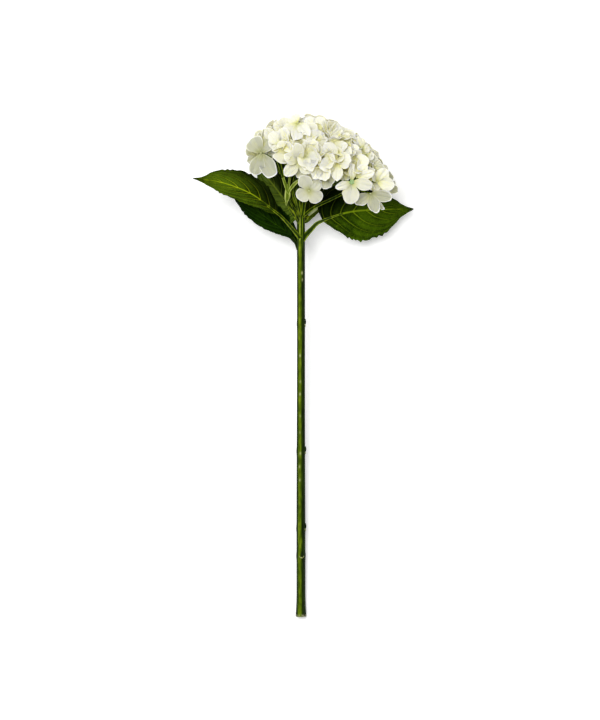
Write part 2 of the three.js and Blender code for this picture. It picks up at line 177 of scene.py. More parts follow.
class Look:
    """A material while it is put together. The values in it are the outputs of its nodes."""

    def __init__(self, name, roughness, gloss):
        self.material = bpy.data.materials.new(name)
        self.material.use_nodes = True
        self.shader = self.material.node_tree.nodes["Principled BSDF"]
        self.shader.inputs["Roughness"].default_value = roughness
        self.shader.inputs["Specular IOR Level"].default_value = gloss

    def node(self, kind, **settings):
        """A node of a kind. Names of its inputs or properties may be given with their values."""
        node = self.material.node_tree.nodes.new(kind)
        for name, value in settings.items():
            if hasattr(node, name):
                setattr(node, name, value)
            else:
                node.inputs[name].default_value = value
        return node

    def feed(self, slot, value):
        """Give an input a number, a linear colour or another node's output."""
        if isinstance(value, tuple):
            slot.default_value = (*value, 1.0)
        elif isinstance(value, (int, float)):
            slot.default_value = value
        else:
            self.material.node_tree.links.new(value, slot)

    def calculate(self, kind, *operands, clamped=False):
        """A Math node's result."""
        node = self.node("ShaderNodeMath", operation=kind, use_clamp=clamped)
        for slot, operand in zip(node.inputs, operands):
            self.feed(slot, operand)
        return node.outputs[0]

    def scaled(self, value, times, plus=0.0, clamped=False):
        return self.calculate("MULTIPLY_ADD", value, times, plus, clamped=clamped)

    def product(self, first, second):
        return self.calculate("MULTIPLY", first, second)

    def total(self, first, second):
        return self.calculate("ADD", first, second)

    def less(self, first, second, clamped=False):
        return self.calculate("SUBTRACT", first, second, clamped=clamped)

    def left_of_one(self, value):
        """1 minus a value, and never under 0."""
        return self.less(1.0, value, clamped=True)

    def ramp(self, source, *stops):
        """A colour ramp over a value. Each stop is a place and a linear colour."""
        node = self.node("ShaderNodeValToRGB")
        elements = node.color_ramp.elements
        while len(elements) < len(stops):
            elements.new(0.5)
        for element, (at, colour) in zip(elements, stops):
            element.position = at
            element.color = (*colour, 1.0)
        self.feed(node.inputs[0], source)
        return node.outputs[0]

    def blend(self, share, first, second, kind="MIX"):
        """One colour mixed into another by a share."""
        node = self.node("ShaderNodeMix", data_type="RGBA", blend_type=kind)
        self.feed(node.inputs[0], share)
        self.feed(node.inputs[6], first)
        self.feed(node.inputs[7], second)
        return node.outputs[2]

    def noise(self, places, scale=1.0, detail=3.0):
        """Soft spots, from 0 to 1, over the given coordinates."""
        node = self.node("ShaderNodeTexNoise", Scale=scale, Detail=detail)
        self.feed(node.inputs["Vector"], places)
        return node.outputs[0]

    def stretched(self, places, *scale):
        """Coordinates multiplied by a number for each axis."""
        node = self.node("ShaderNodeMapping", Scale=scale)
        self.feed(node.inputs["Vector"], places)
        return node.outputs[0]

    def where(self):
        """Coordinates on the piece itself."""
        return self.node("ShaderNodeTexCoord").outputs["Object"]

    def held(self, name):
        """A value that the mesh holds at its vertices."""
        return self.node("ShaderNodeAttribute", attribute_name=name).outputs["Fac"]

    def split_axes(self, places):
        """The X, Y and Z of coordinates."""
        split = self.node("ShaderNodeSeparateXYZ")
        self.feed(split.inputs[0], places)
        return split.outputs

    def split_uv(self):
        """The piece's UV map, and its U and V."""
        places = self.node("ShaderNodeUVMap", uv_map="UVMap").outputs[0]
        u, v, _ = self.split_axes(places)
        return places, u, v

    def coat(self, colour, relief, strength, depth):
        """Give the surface its colour and its relief, which is some metres deep."""
        self.feed(self.shader.inputs["Base Color"], colour)
        node = self.node("ShaderNodeBump", Strength=strength, Distance=depth)
        self.feed(node.inputs["Height"], relief)
        self.feed(self.shader.inputs["Normal"], node.outputs["Normal"])


# ---------------------------------------------------------------- materials

LEAF_GREENS = {
    # Each leaf's material, with its dark and light green and the green of its veins. lit is how
    # much more light falls on the blade's right, and on its tip, than on the rib at its base,
    # and how much falls there.
    "leaf_left_upper": dict(
        name="leaf_sunlit", lit=(-0.40, 0.95, 0.02),
        dark=(0.009, 0.027, 0.0003), light=(0.056, 0.102, 0.003), vein=(0.28, 0.35, 0.006)),
    "leaf_left_lower": dict(
        name="leaf_shaded", lit=(0.0, 0.3, 0.5),
        dark=(0.001, 0.006, 0.0001), light=(0.008, 0.028, 0.0002), vein=(0.018, 0.050, 0.0005)),
    "leaf_left_back": dict(
        name="leaf_grey", lit=(-1.6, 0.15, 0.22),
        dark=(0.030, 0.064, 0.003), light=(0.120, 0.185, 0.020), vein=(0.19, 0.26, 0.020)),
    "leaf_right_lower": dict(
        name="leaf_deep", lit=(0.55, 0.9, 0.06),
        dark=(0.006, 0.022, 0.0001), light=(0.044, 0.092, 0.001), vein=(0.21, 0.31, 0.008)),
    # painted light: this leaf's greens are lighter, and lightest at its base, where the head
    # shades it
    "leaf_right_back": dict(
        name="leaf_painted_light", lit=(0.7, -0.9, 0.55),
        dark=(0.050, 0.095, 0.003), light=(0.19, 0.27, 0.020), vein=(0.34, 0.42, 0.03)),
}

STALK_GREENS = {
    # The material of each kind of stalk: dark, middle and light.
    "branch": ((0.006, 0.018, 0.0002), (0.036, 0.070, 0.001), (0.26, 0.34, 0.010)),
    "stalk": ((0.012, 0.030, 0.0002), (0.070, 0.115, 0.001), (0.30, 0.38, 0.012)),
    "shaded_stalk": ((0.004, 0.012, 0.0002), (0.015, 0.032, 0.0005), (0.05, 0.08, 0.002)),
    "young_branch": ((0.10, 0.15, 0.008), (0.26, 0.34, 0.045), (0.52, 0.58, 0.16)),
}


def petal_margin(look, across, along):
    """How near a place is to a petal's margin, most of all at the tip."""
    side = look.scaled(across, 2.0, -1.0)
    out = look.scaled(along, 2.0, -1.0)
    from_middle = look.total(look.product(side, side), look.product(out, out))
    return look.product(look.ramp(from_middle, (0.74, BLACK), (0.90, WHITE)), along)


def petal_material():
    """Cream petals, green-yellow at the claw, with olive painted shade where other petals crowd
    over them, some greyer, and a painted highlight along the margin.
    """
    look = Look("petal", roughness=0.6, gloss=0.2)
    places, across, along = look.split_uv()
    tone = look.held("tone")
    body = look.ramp(
        along,
        (0.0, (0.44, 0.45, 0.12)),
        (0.14, (0.64, 0.64, 0.33)),
        (0.36, (0.78, 0.765, 0.61)),
        (1.0, (0.85, 0.835, 0.73)),
    )
    # painted shade: an olive tint where other petals crowd over a place
    crowded_shade = look.scaled(look.held("crowded_shade"), 2.0, -0.30, clamped=True)
    sunk = look.blend(crowded_shade, body, (0.84, 0.80, 0.38))
    # greyer by each petal's greyness: random on the spiral, and painted shade on the greyer front
    # florets
    tinted = look.blend(tone, sunk, (0.48, 0.495, 0.48), "MULTIPLY")
    veins = look.noise(look.stretched(places, 22.0, 2.0, 1.0))
    streak = look.scaled(veins, 3.0, -1.2, clamped=True)
    streaked = look.product(streak, look.scaled(tone, 0.55, 0.12))
    veined = look.blend(streaked, tinted, (0.52, 0.54, 0.36))
    # painted highlight: a whiter margin, most on greyer petals and least where the painted shade
    # lies
    shown = look.less(look.scaled(tone, 0.7, 0.25), crowded_shade, clamped=True)
    rim = look.product(petal_margin(look, across, along), shown)
    colour = look.blend(rim, veined, (0.97, 0.965, 0.90))
    crumples = look.noise(look.where(), scale=210.0, detail=2.0)
    relief = look.scaled(crumples, 4.0, veins)
    look.coat(colour, relief, strength=0.35, depth=0.0004)
    look.shader.inputs["Subsurface Weight"].default_value = 0.7
    look.shader.inputs["Subsurface Radius"].default_value = (1.0, 0.95, 0.6)
    look.shader.inputs["Subsurface Scale"].default_value = 0.0012
    return look.material


def heart_material():
    """The small true flowers in the middle of a floret: green where it is open, or cream."""
    look = Look("heart", roughness=0.5, gloss=0.2)
    spots = look.noise(look.where(), scale=900.0, detail=2.0)
    cream = look.ramp(spots, (0.3, (0.50, 0.52, 0.22)), (0.65, (0.72, 0.72, 0.45)))
    green = look.ramp(spots, (0.3, (0.20, 0.42, 0.12)), (0.65, (0.46, 0.62, 0.32)))
    colour = look.blend(look.held("fresh"), cream, green)
    look.coat(colour, spots, strength=0.4, depth=0.0002)
    return look.material


def stalk_material(name, dark, middle, light):
    """The head's branches and the leaves' stalks: yellow-green, with painted highlights along them
    and painted shade along the top.
    """
    look = Look(name, roughness=0.5, gloss=0.06)
    spots = look.noise(look.stretched(look.where(), 260.0, 60.0, 260.0))
    # the ridge layer holds painted highlight and shade, mixed here with random spots
    streaks = look.scaled(look.held("ridge"), 0.25, spots)
    colour = look.ramp(streaks, (0.30, dark), (0.50, middle), (0.72, light))
    look.coat(colour, streaks, strength=0.3, depth=0.0004)
    return look.material


def vein_masks(look, across, along):
    """On a blade: the midrib, the side veins and the broad furrows that the veins lie in."""
    reach = look.calculate("ABSOLUTE", across)
    midrib_width = look.scaled(along, -0.025, 0.055)
    midrib = look.left_of_one(look.calculate("DIVIDE", reach, midrib_width))
    bent = look.calculate("POWER", reach, VEIN_BEND)
    origin = look.product(along, look.scaled(bent, -VEIN_SWEEP, 1.0))
    spaced = look.calculate("POWER", origin, VEIN_SPACING)
    between = look.calculate("FRACT", look.product(spaced, SIDE_VEINS))
    away = look.calculate("ABSOLUTE", look.less(between, 0.5))
    vein_width = look.scaled(reach, -0.045, 0.085)
    vein = look.left_of_one(look.calculate("DIVIDE", away, vein_width))
    fade = look.scaled(reach, -1.05, 1.0, clamped=True)
    furrow = look.left_of_one(look.product(away, 2.6))
    return midrib, look.product(vein, fade), furrow


def blade_green(look, where, along, furrow, dark, light):
    """The mottled green between the veins, with painted shade in the furrows and towards the base,
    so that it is paler towards the tip.
    """
    broad = look.product(look.noise(where, scale=38.0), 0.75)
    fine = look.product(look.noise(where, scale=240.0, detail=4.0), 0.25)
    mottle = look.total(broad, fine)
    shaded = look.scaled(furrow, -0.20, look.scaled(along, 0.12, mottle))
    return look.ramp(shaded, (0.36, dark), (0.60, light))


def fine_net(look, where):
    """The lines of a leaf's finest veins."""
    net = look.node("ShaderNodeTexVoronoi", feature="DISTANCE_TO_EDGE", Scale=480.0)
    look.feed(net.inputs["Vector"], where)
    return look.left_of_one(look.product(net.outputs[0], 9.0))


def light_from_head(look, across, along, lit):
    """The light on a blade, which is mostly dimmer by the head."""
    by_across, by_along, start = lit
    light = look.scaled(across, by_across, look.scaled(along, by_along, start))
    return look.ramp(light, (0.05, (0.13, 0.15, 0.13)), (0.50, WHITE))


def leaf_material(name, lit, dark, light, vein):
    """A toothed leaf: mottled green with a fine net, bright veins in furrows, and painted light
    that dims by the head.
    """
    look = Look(name, roughness=0.6, gloss=0.015)
    _, u, along = look.split_uv()
    where = look.where()
    across = look.scaled(u, 2.0, -1.0)
    drift = look.less(look.noise(where, scale=60.0, detail=2.0), 0.5)
    midrib, side_veins, furrow = vein_masks(look, across, look.scaled(drift, 0.05, along))
    net = fine_net(look, where)
    green = blade_green(look, where, along, furrow, dark, light)
    netted = look.blend(look.product(net, 0.16), green, vein)
    # painted shade: the blade and its side veins are painted dimmer towards the head
    painted_light = light_from_head(look, across, along, lit)
    body = look.blend(1.0, netted, painted_light, "MULTIPLY")
    dimmed = look.blend(0.6, vein, painted_light, "MULTIPLY")
    veined = look.blend(side_veins, body, dimmed)
    bright = tuple(1.2 * part for part in vein)
    colour = look.blend(midrib, veined, bright)
    relief = look.scaled(furrow, -1.0, look.product(net, -0.25))
    look.coat(colour, relief, strength=0.6, depth=0.0012)
    return look.material


def margin_material():
    """The pale ribbed underside of a young leaf."""
    look = Look("margin", roughness=0.6, gloss=0.06)
    wave = look.node("ShaderNodeTexWave", Scale=260.0, Distortion=1.0)
    look.feed(wave.inputs["Vector"], look.where())
    ribs = wave.outputs["Fac"]
    colour = look.ramp(ribs, (0.25, (0.22, 0.30, 0.08)), (0.70, (0.74, 0.80, 0.46)))
    look.coat(colour, ribs, strength=0.4, depth=0.0003)
    return look.material


def frayed_end(look, where):
    """Where the fibres of the cane's cut end show."""
    from_foot = look.less(look.split_axes(where)[1], place((0.0, 0.0, 0.0)).y)
    near_foot = look.left_of_one(look.product(from_foot, 350.0))
    fibres = look.noise(look.stretched(where, 1500.0, 400.0, 1500.0), detail=2.0)
    return look.product(near_foot, look.scaled(fibres, 5.0, -2.2, clamped=True))


def cane_material():
    """Dark green young wood: streaks along it, a band of painted light down one side, dull
    patches, corky marks, a pale cut end.
    """
    look = Look("cane", roughness=0.55, gloss=0.05)
    where = look.where()
    streaks = look.noise(look.stretched(where, 700.0, 45.0, 700.0), detail=5.0)
    # painted light: the bark is lighter down one side, with pale ribs at its young end
    painted_bark_light_and_ribs = look.scaled(look.held("painted_light_and_ribs"), 0.55, -0.42)
    body = look.ramp(
        look.total(streaks, painted_bark_light_and_ribs),
        (0.05, (0.003, 0.009, 0.0001)),
        (0.30, (0.020, 0.046, 0.0005)),
        (0.55, (0.085, 0.145, 0.001)),
        (0.80, (0.19, 0.27, 0.008)),
        (1.00, (0.36, 0.44, 0.06)),
    )
    patches = look.noise(look.stretched(where, 420.0, 160.0, 420.0), detail=4.0)
    dull = look.product(look.scaled(patches, 4.0, -1.75, clamped=True), 0.6)
    shaded = look.blend(dull, body, (0.018, 0.036, 0.0005))
    corky = look.held("corky")
    marked = look.blend(corky, shaded, (0.50, 0.52, 0.22))
    frayed = frayed_end(look, where)
    colour = look.blend(frayed, marked, (0.50, 0.48, 0.28))
    look.coat(colour, look.total(streaks, corky), strength=0.5, depth=0.0005)
    return look.material


def scar_material():
    """The dry pale cork of a leaf scar."""
    look = Look("scar", roughness=0.8, gloss=0.05)
    grain = look.noise(look.where(), scale=1100.0)
    colour = look.ramp(grain, (0.40, (0.13, 0.15, 0.03)), (0.60, (0.46, 0.48, 0.22)))
    look.coat(colour, grain, strength=0.5, depth=0.0003)
    return look.material


def floor_material():
    """A white surface that glows a little, so that it is as light as paper."""
    look = Look("floor", roughness=0.9, gloss=0.5)
    grain = look.noise(look.where(), scale=3.0, detail=2.0)
    colour = look.ramp(grain, (0.0, (0.98, 0.98, 0.98)), (1.0, WHITE))
    look.feed(look.shader.inputs["Base Color"], colour)
    look.shader.inputs["Emission Color"].default_value = (1.0, 1.0, 1.0, 1.0)
    look.shader.inputs["Emission Strength"].default_value = FLOOR_GLOW
    return look.material


# ---------------------------------------------------------------- shaping

SHARP_EDGE = math.radians(60)
CURVE_POINTS = 24  # from one given point to the next, before a curve is divided evenly
PAINTED_HIGHLIGHT_UP = 0.55  # how much a stalk's surface faces up where its painted highlights are
PAINTED_STREAK_SPREAD = 0.2
GROOVE_UP = 0.75  # and where the groove between them begins


def to_object(work, name, material, smooth=True):
    """The finished mesh as an object that lies at the origin."""
    for face in work.faces:
        face.smooth = smooth
    mesh = bpy.data.meshes.new(name)
    work.to_mesh(mesh)
    work.free()
    mesh.materials.append(material)
    piece = bpy.data.objects.new(name, mesh)
    bpy.context.scene.collection.objects.link(piece)
    return piece


def finish_piece(work, name, material, node):
    """A piece that stands for a node of the frame and rides with it."""
    piece = to_object(work, name, material)
    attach(piece, "root")
    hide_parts(node)


def thicken(work, thickness):
    """Give a mesh of sheets its wall, with crisp edges round the rim."""
    bmesh.ops.solidify(work, geom=work.faces[:], thickness=thickness * MM)
    for edge in work.edges:
        if edge.is_manifold and edge.calc_face_angle() > SHARP_EDGE:
            edge.smooth = False


def smooth_path(points, spacing):
    """Points every so far along a smooth curve through the given ones."""
    knots = [Vector(point) for point in points]
    ends = [knots[0] * 2 - knots[1], *knots, knots[-1] * 2 - knots[-2]]
    dense = [knots[0]]
    for before, start, end, after in zip(ends, ends[1:], ends[2:], ends[3:]):
        first = start + (end - before) / 6
        second = end - (after - start) / 6
        dense += geometry.interpolate_bezier(start, first, second, end, CURVE_POINTS)[1:]
    lengths = [0.0]
    for a, b in zip(dense, dense[1:]):
        lengths.append(lengths[-1] + (b - a).length)
    steps = max(2, round(lengths[-1] / spacing))
    even = []
    at = 0
    for step in range(steps + 1):
        wanted = lengths[-1] * step / steps
        while at < len(dense) - 2 and lengths[at + 1] < wanted:
            at += 1
        span = lengths[at + 1] - lengths[at]
        even.append(dense[at].lerp(dense[at + 1], (wanted - lengths[at]) / span))
    return even


def tangents(path):
    """The direction of a path at each of its points."""
    wide = [path[0] * 2 - path[1], *path, path[-1] * 2 - path[-2]]
    return [(after - before).normalized() for before, after in zip(wide, wide[2:])]


def tube(work, path, radius_at, sides):
    """A closed round tube along a path, its radius by the share of the way along.

    It gives back the vertices round each point of the path.
    """
    directions = tangents(path)
    side = directions[0].orthogonal().normalized()
    frames = []
    for i, (point, direction) in enumerate(zip(path, directions)):
        side = (side - direction * side.dot(direction)).normalized()
        radius = radius_at(i / (len(path) - 1))
        turn = Matrix((side, direction.cross(side), direction)).transposed().to_4x4()
        frames.append(Matrix.Translation(place(point)) @ turn @ Matrix.Scale(radius * MM, 4))
    start = bmesh.ops.create_circle(work, cap_ends=True, segments=sides, radius=1.0)
    ring = start["verts"]
    bmesh.ops.transform(work, matrix=frames[0], verts=ring)
    rings = [ring]
    cap = ring[0].link_faces[0]
    for before, after in zip(frames, frames[1:]):
        grown = bmesh.ops.extrude_face_region(work, geom=[cap])["geom"]
        ring = [part for part in grown if isinstance(part, bmesh.types.BMVert)]
        cap = next(part for part in grown if isinstance(part, bmesh.types.BMFace))
        bmesh.ops.transform(work, matrix=after @ before.inverted(), verts=ring)
        rings.append(ring)
    return rings


def bell(distance, spread):
    """1 in the middle of something, and less and less away from it."""
    return math.exp(-(distance / spread) ** 2)


def groove_tube(work, path, radius_at, depth):
    """A stalk with painted highlights along it, and along its top a groove that is a share deep,
    with painted shade in it.
    """
    ridge = work.verts.layers.float.get("ridge") or work.verts.layers.float.new("ridge")
    for axis, ring in zip(path, tube(work, path, radius_at, 16)):
        for vertex in ring:
            out = designed(vertex.co) - axis
            up = out.normalized().z
            # painted highlight where the surface faces partly up, and painted shade where it faces
            # straight up, in the top groove
            vertex[ridge] = bell(up - PAINTED_HIGHLIGHT_UP, PAINTED_STREAK_SPREAD) - bell(up - 1.0, PAINTED_STREAK_SPREAD)
            if up > GROOVE_UP:
                out.z -= depth * out.length * (up - GROOVE_UP) / (1.0 - GROOVE_UP)
                vertex.co = place(axis + out)


# ---------------------------------------------------------------- leaves

LEAVES = {
    # The spine is the line of a leaf's stalk and rib, petiole the share of it that is bare, and
    # stalk the stalk's radius. Then come pairs, for the left half of the blade and the right:
    # how broad a half is, where it is widest and how it swells from its base. fold is how far
    # both slope down from the rib, and roll how far the blade leans to its right at its base
    # and at its tip, in degrees.
    "leaf_left_upper": dict(
        spine=((-1, 397, 50), (-17, 415, 61), (-27, 423.5, 64), (-51, 441, 70),
               (-82, 453, 68), (-112, 458, 52)),
        petiole=0.26, stalk=2.2, halves=(13, 20), widest=(0.45, 0.45), taper=(0.8, 0.8),
        fold=18, roll=(-10, 12)),
    "leaf_left_lower": dict(
        spine=((-1.5, 385, 45), (-6, 393, 44.5), (-12, 401, 44), (-35, 417, 41),
               (-57, 435, 36), (-78, 450, 24)),
        petiole=0.0, stalk=2.2, halves=(12, 19), widest=(0.55, 0.47), taper=(1.1, 1.2),
        fold=10, roll=(0, 0)),
    "leaf_left_back": dict(
        spine=((-1.5, 418, 47.5), (-13, 430, 33), (-20.5, 442, 25), (-31, 456, 18),
               (-46, 473, 13)),
        petiole=0.02, stalk=2.2, halves=(31, 27), widest=(0.5, 0.55), taper=(0.45, 0.8),
        fold=8, roll=(0, -10)),
    "leaf_right_lower": dict(
        spine=((1.5, 395, 47.5), (12, 406, 48), (21, 413.5, 45), (52, 424, 37),
               (88, 427, 29), (119, 428, 20)),
        petiole=0.225, stalk=3.2, halves=(27, 33), widest=(0.30, 0.43), taper=(0.5, 1.15),
        fold=10, roll=(0, 0)),
    "leaf_right_back": dict(
        spine=((1.5, 412, 47), (8, 418.5, 40), (14, 424.5, 31), (28, 435, 17),
               (46, 446, 11), (60, 455, 9)),
        petiole=0.02, stalk=2.2, halves=(26, 4.4), widest=(0.48, 0.15), taper=(0.8, 0.8),
        fold=8, roll=(0, 5)),
}
SHADED_LEAF = "leaf_left_lower"  # it lies under the one above it, and its stalk with it

BLADE_START = 0.004  # a blade begins and ends a little inside its stretch of the spine
BLADE_SHARE = 0.99
LEAST_HALF = 0.5
FOLD_REACH = 3.0  # from the rib, over which a half comes to slope down
TIP_TAPER = 0.8
TIP_FROM = 0.7  # from this share of the blade on it is drawn in to a finer tip
TIP_OVER = 0.27
TIP_DRAWN_IN = 0.52
TOOTHED = (0.03, 0.97)  # the stretch of a blade that has teeth
SMOOTH_EDGE = 0.97
TOOTH_SHIFT = 0.004
TOOTH_RISE = 0.75  # the share of a tooth that rises, before it drops to the next
TOOTH_FOOT = 0.955
TOOTH_HEIGHT = 0.070
MIDRIB_SPREAD = 0.05
SIDE_VEIN_SPREAD = 0.13
PETIOLE_GROOVE = 0.45
PETIOLE_FLARE = 0.7
FLARE_SHARE = 0.07
THINNING_SHARE = 0.16  # of the spine, past the blade's base, where a stalk is thinned to a rib
RIB_RADIUS = 1.1
RIB_TAPER = 0.75
RIB_SINK = 1.3  # below the spine, so that the rib shows from beneath
RIB_TIP_SINK = 0.6
RIB_SHORT = 6  # of the spine's points, and so about as many millimetres
ROLLED_EDGE = (
    (8, 419.5, 44), (10.5, 422, 43), (14.5, 425.5, 41), (18.5, 428.8, 38), (21, 431, 35))


def blade_profile(share, widest, taper):
    """How wide a half of a blade is. A taper past 1 at the base makes it a wedge there."""
    bend = math.log(0.5) / math.log(widest)
    swell = math.sin(math.pi * share ** bend) ** (taper if share < widest else TIP_TAPER)
    return swell * (1.0 - TIP_DRAWN_IN * ease((share - TIP_FROM) / TIP_OVER))


def along_path(path, directions, share):
    """The point and direction at a share of the way along an even path."""
    at = share * (len(path) - 1)
    i = min(len(path) - 2, int(at))
    point = path[i].lerp(path[i + 1], at - i)
    return point, directions[i].lerp(directions[i + 1], at - i).normalized()


def tooth(share):
    """How far the margin stands out at a share of the way: uneven teeth that lean to the tip."""
    phase = (share * TEETH + 0.3 * math.sin(19.0 * share)) % 1.0
    height = TOOTH_HEIGHT * (1.0 + 0.5 * math.sin(31.0 * share))
    if phase < TOOTH_RISE:
        return TOOTH_FOOT + height * phase / TOOTH_RISE
    return TOOTH_FOOT + height * (1.0 - phase) / (1.0 - TOOTH_RISE)


def vein_sink(across, along):
    """How deep a blade's face is sunk at its veins, from 0 to 1, and puffed out between."""
    reach = abs(across)
    origin = along * (1.0 - VEIN_SWEEP * reach ** VEIN_BEND)
    line = origin ** VEIN_SPACING * SIDE_VEINS
    side = bell(line % 1.0 - 0.5, SIDE_VEIN_SPREAD) * (1.0 - 0.7 * reach)
    return max(bell(reach, MIDRIB_SPREAD), 0.8 * side)


def blade_point(leaf, path, directions, across, along, growth):
    """A point of a blade: across from -1 to 1 and along from 0 to 1, before its thickness."""
    share = leaf["petiole"] + (1.0 - leaf["petiole"]) * along
    centre, direction = along_path(path, directions, share)
    side = direction.cross(UP).normalized()
    up = side.cross(direction)
    hand = 0 if across < 0 else 1
    profile = blade_profile(along, leaf["widest"][hand], leaf["taper"][hand])
    edge = tooth(along + TOOTH_SHIFT) if TOOTHED[0] < along < TOOTHED[1] else SMOOTH_EDGE
    edge = 1.0 + (edge - 1.0) * abs(across) ** 6
    reach = across * max(LEAST_HALF, leaf["halves"][hand] * profile) * edge
    roll = leaf["roll"][0] + (leaf["roll"][1] - leaf["roll"][0]) * along
    fold = leaf["fold"] * clamp(reach / FOLD_REACH, -1.0)
    turn = Matrix.Rotation(math.radians(roll + fold), 3, direction)
    wave = math.sin(along * 23.0 + growth + (2.0 if across > 0 else 0.0))
    height = LEAF_WAVE * across ** 2 * wave - ARCH * reach * reach
    height -= VEIN_DEPTH * vein_sink(across, along)
    return centre + turn @ (side * reach + up * height)


def blade_piece(name, path, material):
    """A leaf's blade, with teeth, sunken veins and a wavy margin."""
    leaf = LEAVES[name]
    directions = tangents(path)
    growth = len(name) * 1.7  # so that no two leaves wave in the same way
    work = bmesh.new()
    uv = work.loops.layers.uv.new("UVMap")
    bmesh.ops.create_grid(work, x_segments=LEAF_COLUMNS, y_segments=LEAF_ROWS, size=1.0)
    spots = {}
    for vertex in work.verts:
        across = vertex.co.x
        along = BLADE_START + BLADE_SHARE * (vertex.co.y + 1.0) / 2.0
        spots[vertex] = (across / 2.0 + 0.5, along)
        vertex.co = place(blade_point(leaf, path, directions, across, along, growth))
    for face in work.faces:
        for loop in face.loops:
            loop[uv].uv = spots[loop.vert]
    thicken(work, LEAF_THICKNESS)
    finish_piece(work, name + "_blade", material, name)


def petiole_radius(leaf, share):
    """A stalk's radius: it flares at the cane, and thins to the rib under the blade."""
    flare = PETIOLE_FLARE * max(0.0, 1.0 - share / FLARE_SHARE) ** 2
    thinned = min(1.0, share / (leaf["petiole"] + THINNING_SHARE))
    return flare + leaf["stalk"] - (leaf["stalk"] - RIB_RADIUS) * thinned - RIB_TAPER * share


def petiole_piece(name, path, material):
    """A leaf's stalk, which runs on under the blade as its rib and ends short of the tip."""
    leaf = LEAVES[name]
    rib = path[:-RIB_SHORT:3]
    sunk = []
    for i, point in enumerate(rib):
        past = max(0.0, (i / len(rib) - leaf["petiole"]) / (1.0 - leaf["petiole"]))
        sunk.append(point - UP * (RIB_SINK * min(1.0, 4.0 * past) + RIB_TIP_SINK * past))
    work = bmesh.new()
    groove_tube(work, sunk, partial(petiole_radius, leaf), PETIOLE_GROOVE)
    finish_piece(work, name + "_stalk", material, name)


def leaf_pieces(name, green, stalk_green):
    """A leaf's blade and stalk along its spine, which has a point for each millimetre."""
    path = smooth_path(LEAVES[name]["spine"], 1.0)
    blade_piece(name, path, green)
    petiole_piece(name, path, stalk_green)


def rolled_radius(share):
    return 0.25 + 1.35 * math.sin(math.pi * share) ** 0.6


def rolled_margin(material):
    """The lower margin of the right back leaf, rolled up so that its pale underside shows."""
    work = bmesh.new()
    tube(work, smooth_path(ROLLED_EDGE, 0.6), rolled_radius, 12)
    finish_piece(work, "rolled_margin", material, "leaf_right_back")


# ---------------------------------------------------------------- the dome of the head

HEAD_AXIS = Vector((math.sin(HEAD_LEAN), math.cos(HEAD_LEAN), 0.0))
HEAD_RIGHT = Vector((math.cos(HEAD_LEAN), -math.sin(HEAD_LEAN), 0.0))
GOLDEN_ANGLE = math.pi * (3.0 - math.sqrt(5.0))
AREA_STEPS = 200


def dome_rise(height):
    """The dome's half axis above its widest ring, or below it."""
    return DOME_RISE if height > 0 else DOME_DROP


def dome_normal(point):
    """The way out of the dome at a point."""
    away = point - HEAD_CENTRE
    rise = away.dot(HEAD_AXIS)
    normal = HEAD_AXIS * (rise / dome_rise(rise) ** 2)
    normal += HEAD_RIGHT * (away.dot(HEAD_RIGHT) / DOME_ACROSS ** 2)
    normal += UP * (away.z / DOME_DEEP ** 2)
    return normal.normalized()


def on_dome(angle, turn, share):
    """A point at an angle from the crown and a turn round the axis, a share of the way out."""
    point = HEAD_AXIS * (math.cos(angle) * dome_rise(math.cos(angle)))
    point += HEAD_RIGHT * (DOME_ACROSS * math.sin(angle) * math.cos(turn))
    point += UP * (DOME_DEEP * math.sin(angle) * math.sin(turn))
    return HEAD_CENTRE + point * share


def area_angles(count):
    """Angles from the crown at which equal shares of the dome's area lie between them."""
    lowest = math.pi - math.asin(UNDERSIDE_OPENING)
    mean_reach = (DOME_ACROSS + DOME_DEEP) / 2
    area = [0.0]
    for i in range(AREA_STEPS):
        a, b = lowest * i / AREA_STEPS, lowest * (i + 1) / AREA_STEPS
        drop = dome_rise(math.cos(b)) * (math.cos(a) - math.cos(b))
        slant = math.hypot((math.sin(b) - math.sin(a)) * mean_reach, drop)
        area.append(area[-1] + slant * (math.sin(a) + math.sin(b)))
    angles = []
    i = 1
    for k in range(count):
        wanted = area[-1] * (k + 0.5) / count
        while area[i] < wanted:
            i += 1
        past = (wanted - area[i - 1]) / (area[i] - area[i - 1])
        angles.append(lowest * (i - 1 + past) / AREA_STEPS)
    return angles


# ---------------------------------------------------------------- where the florets are

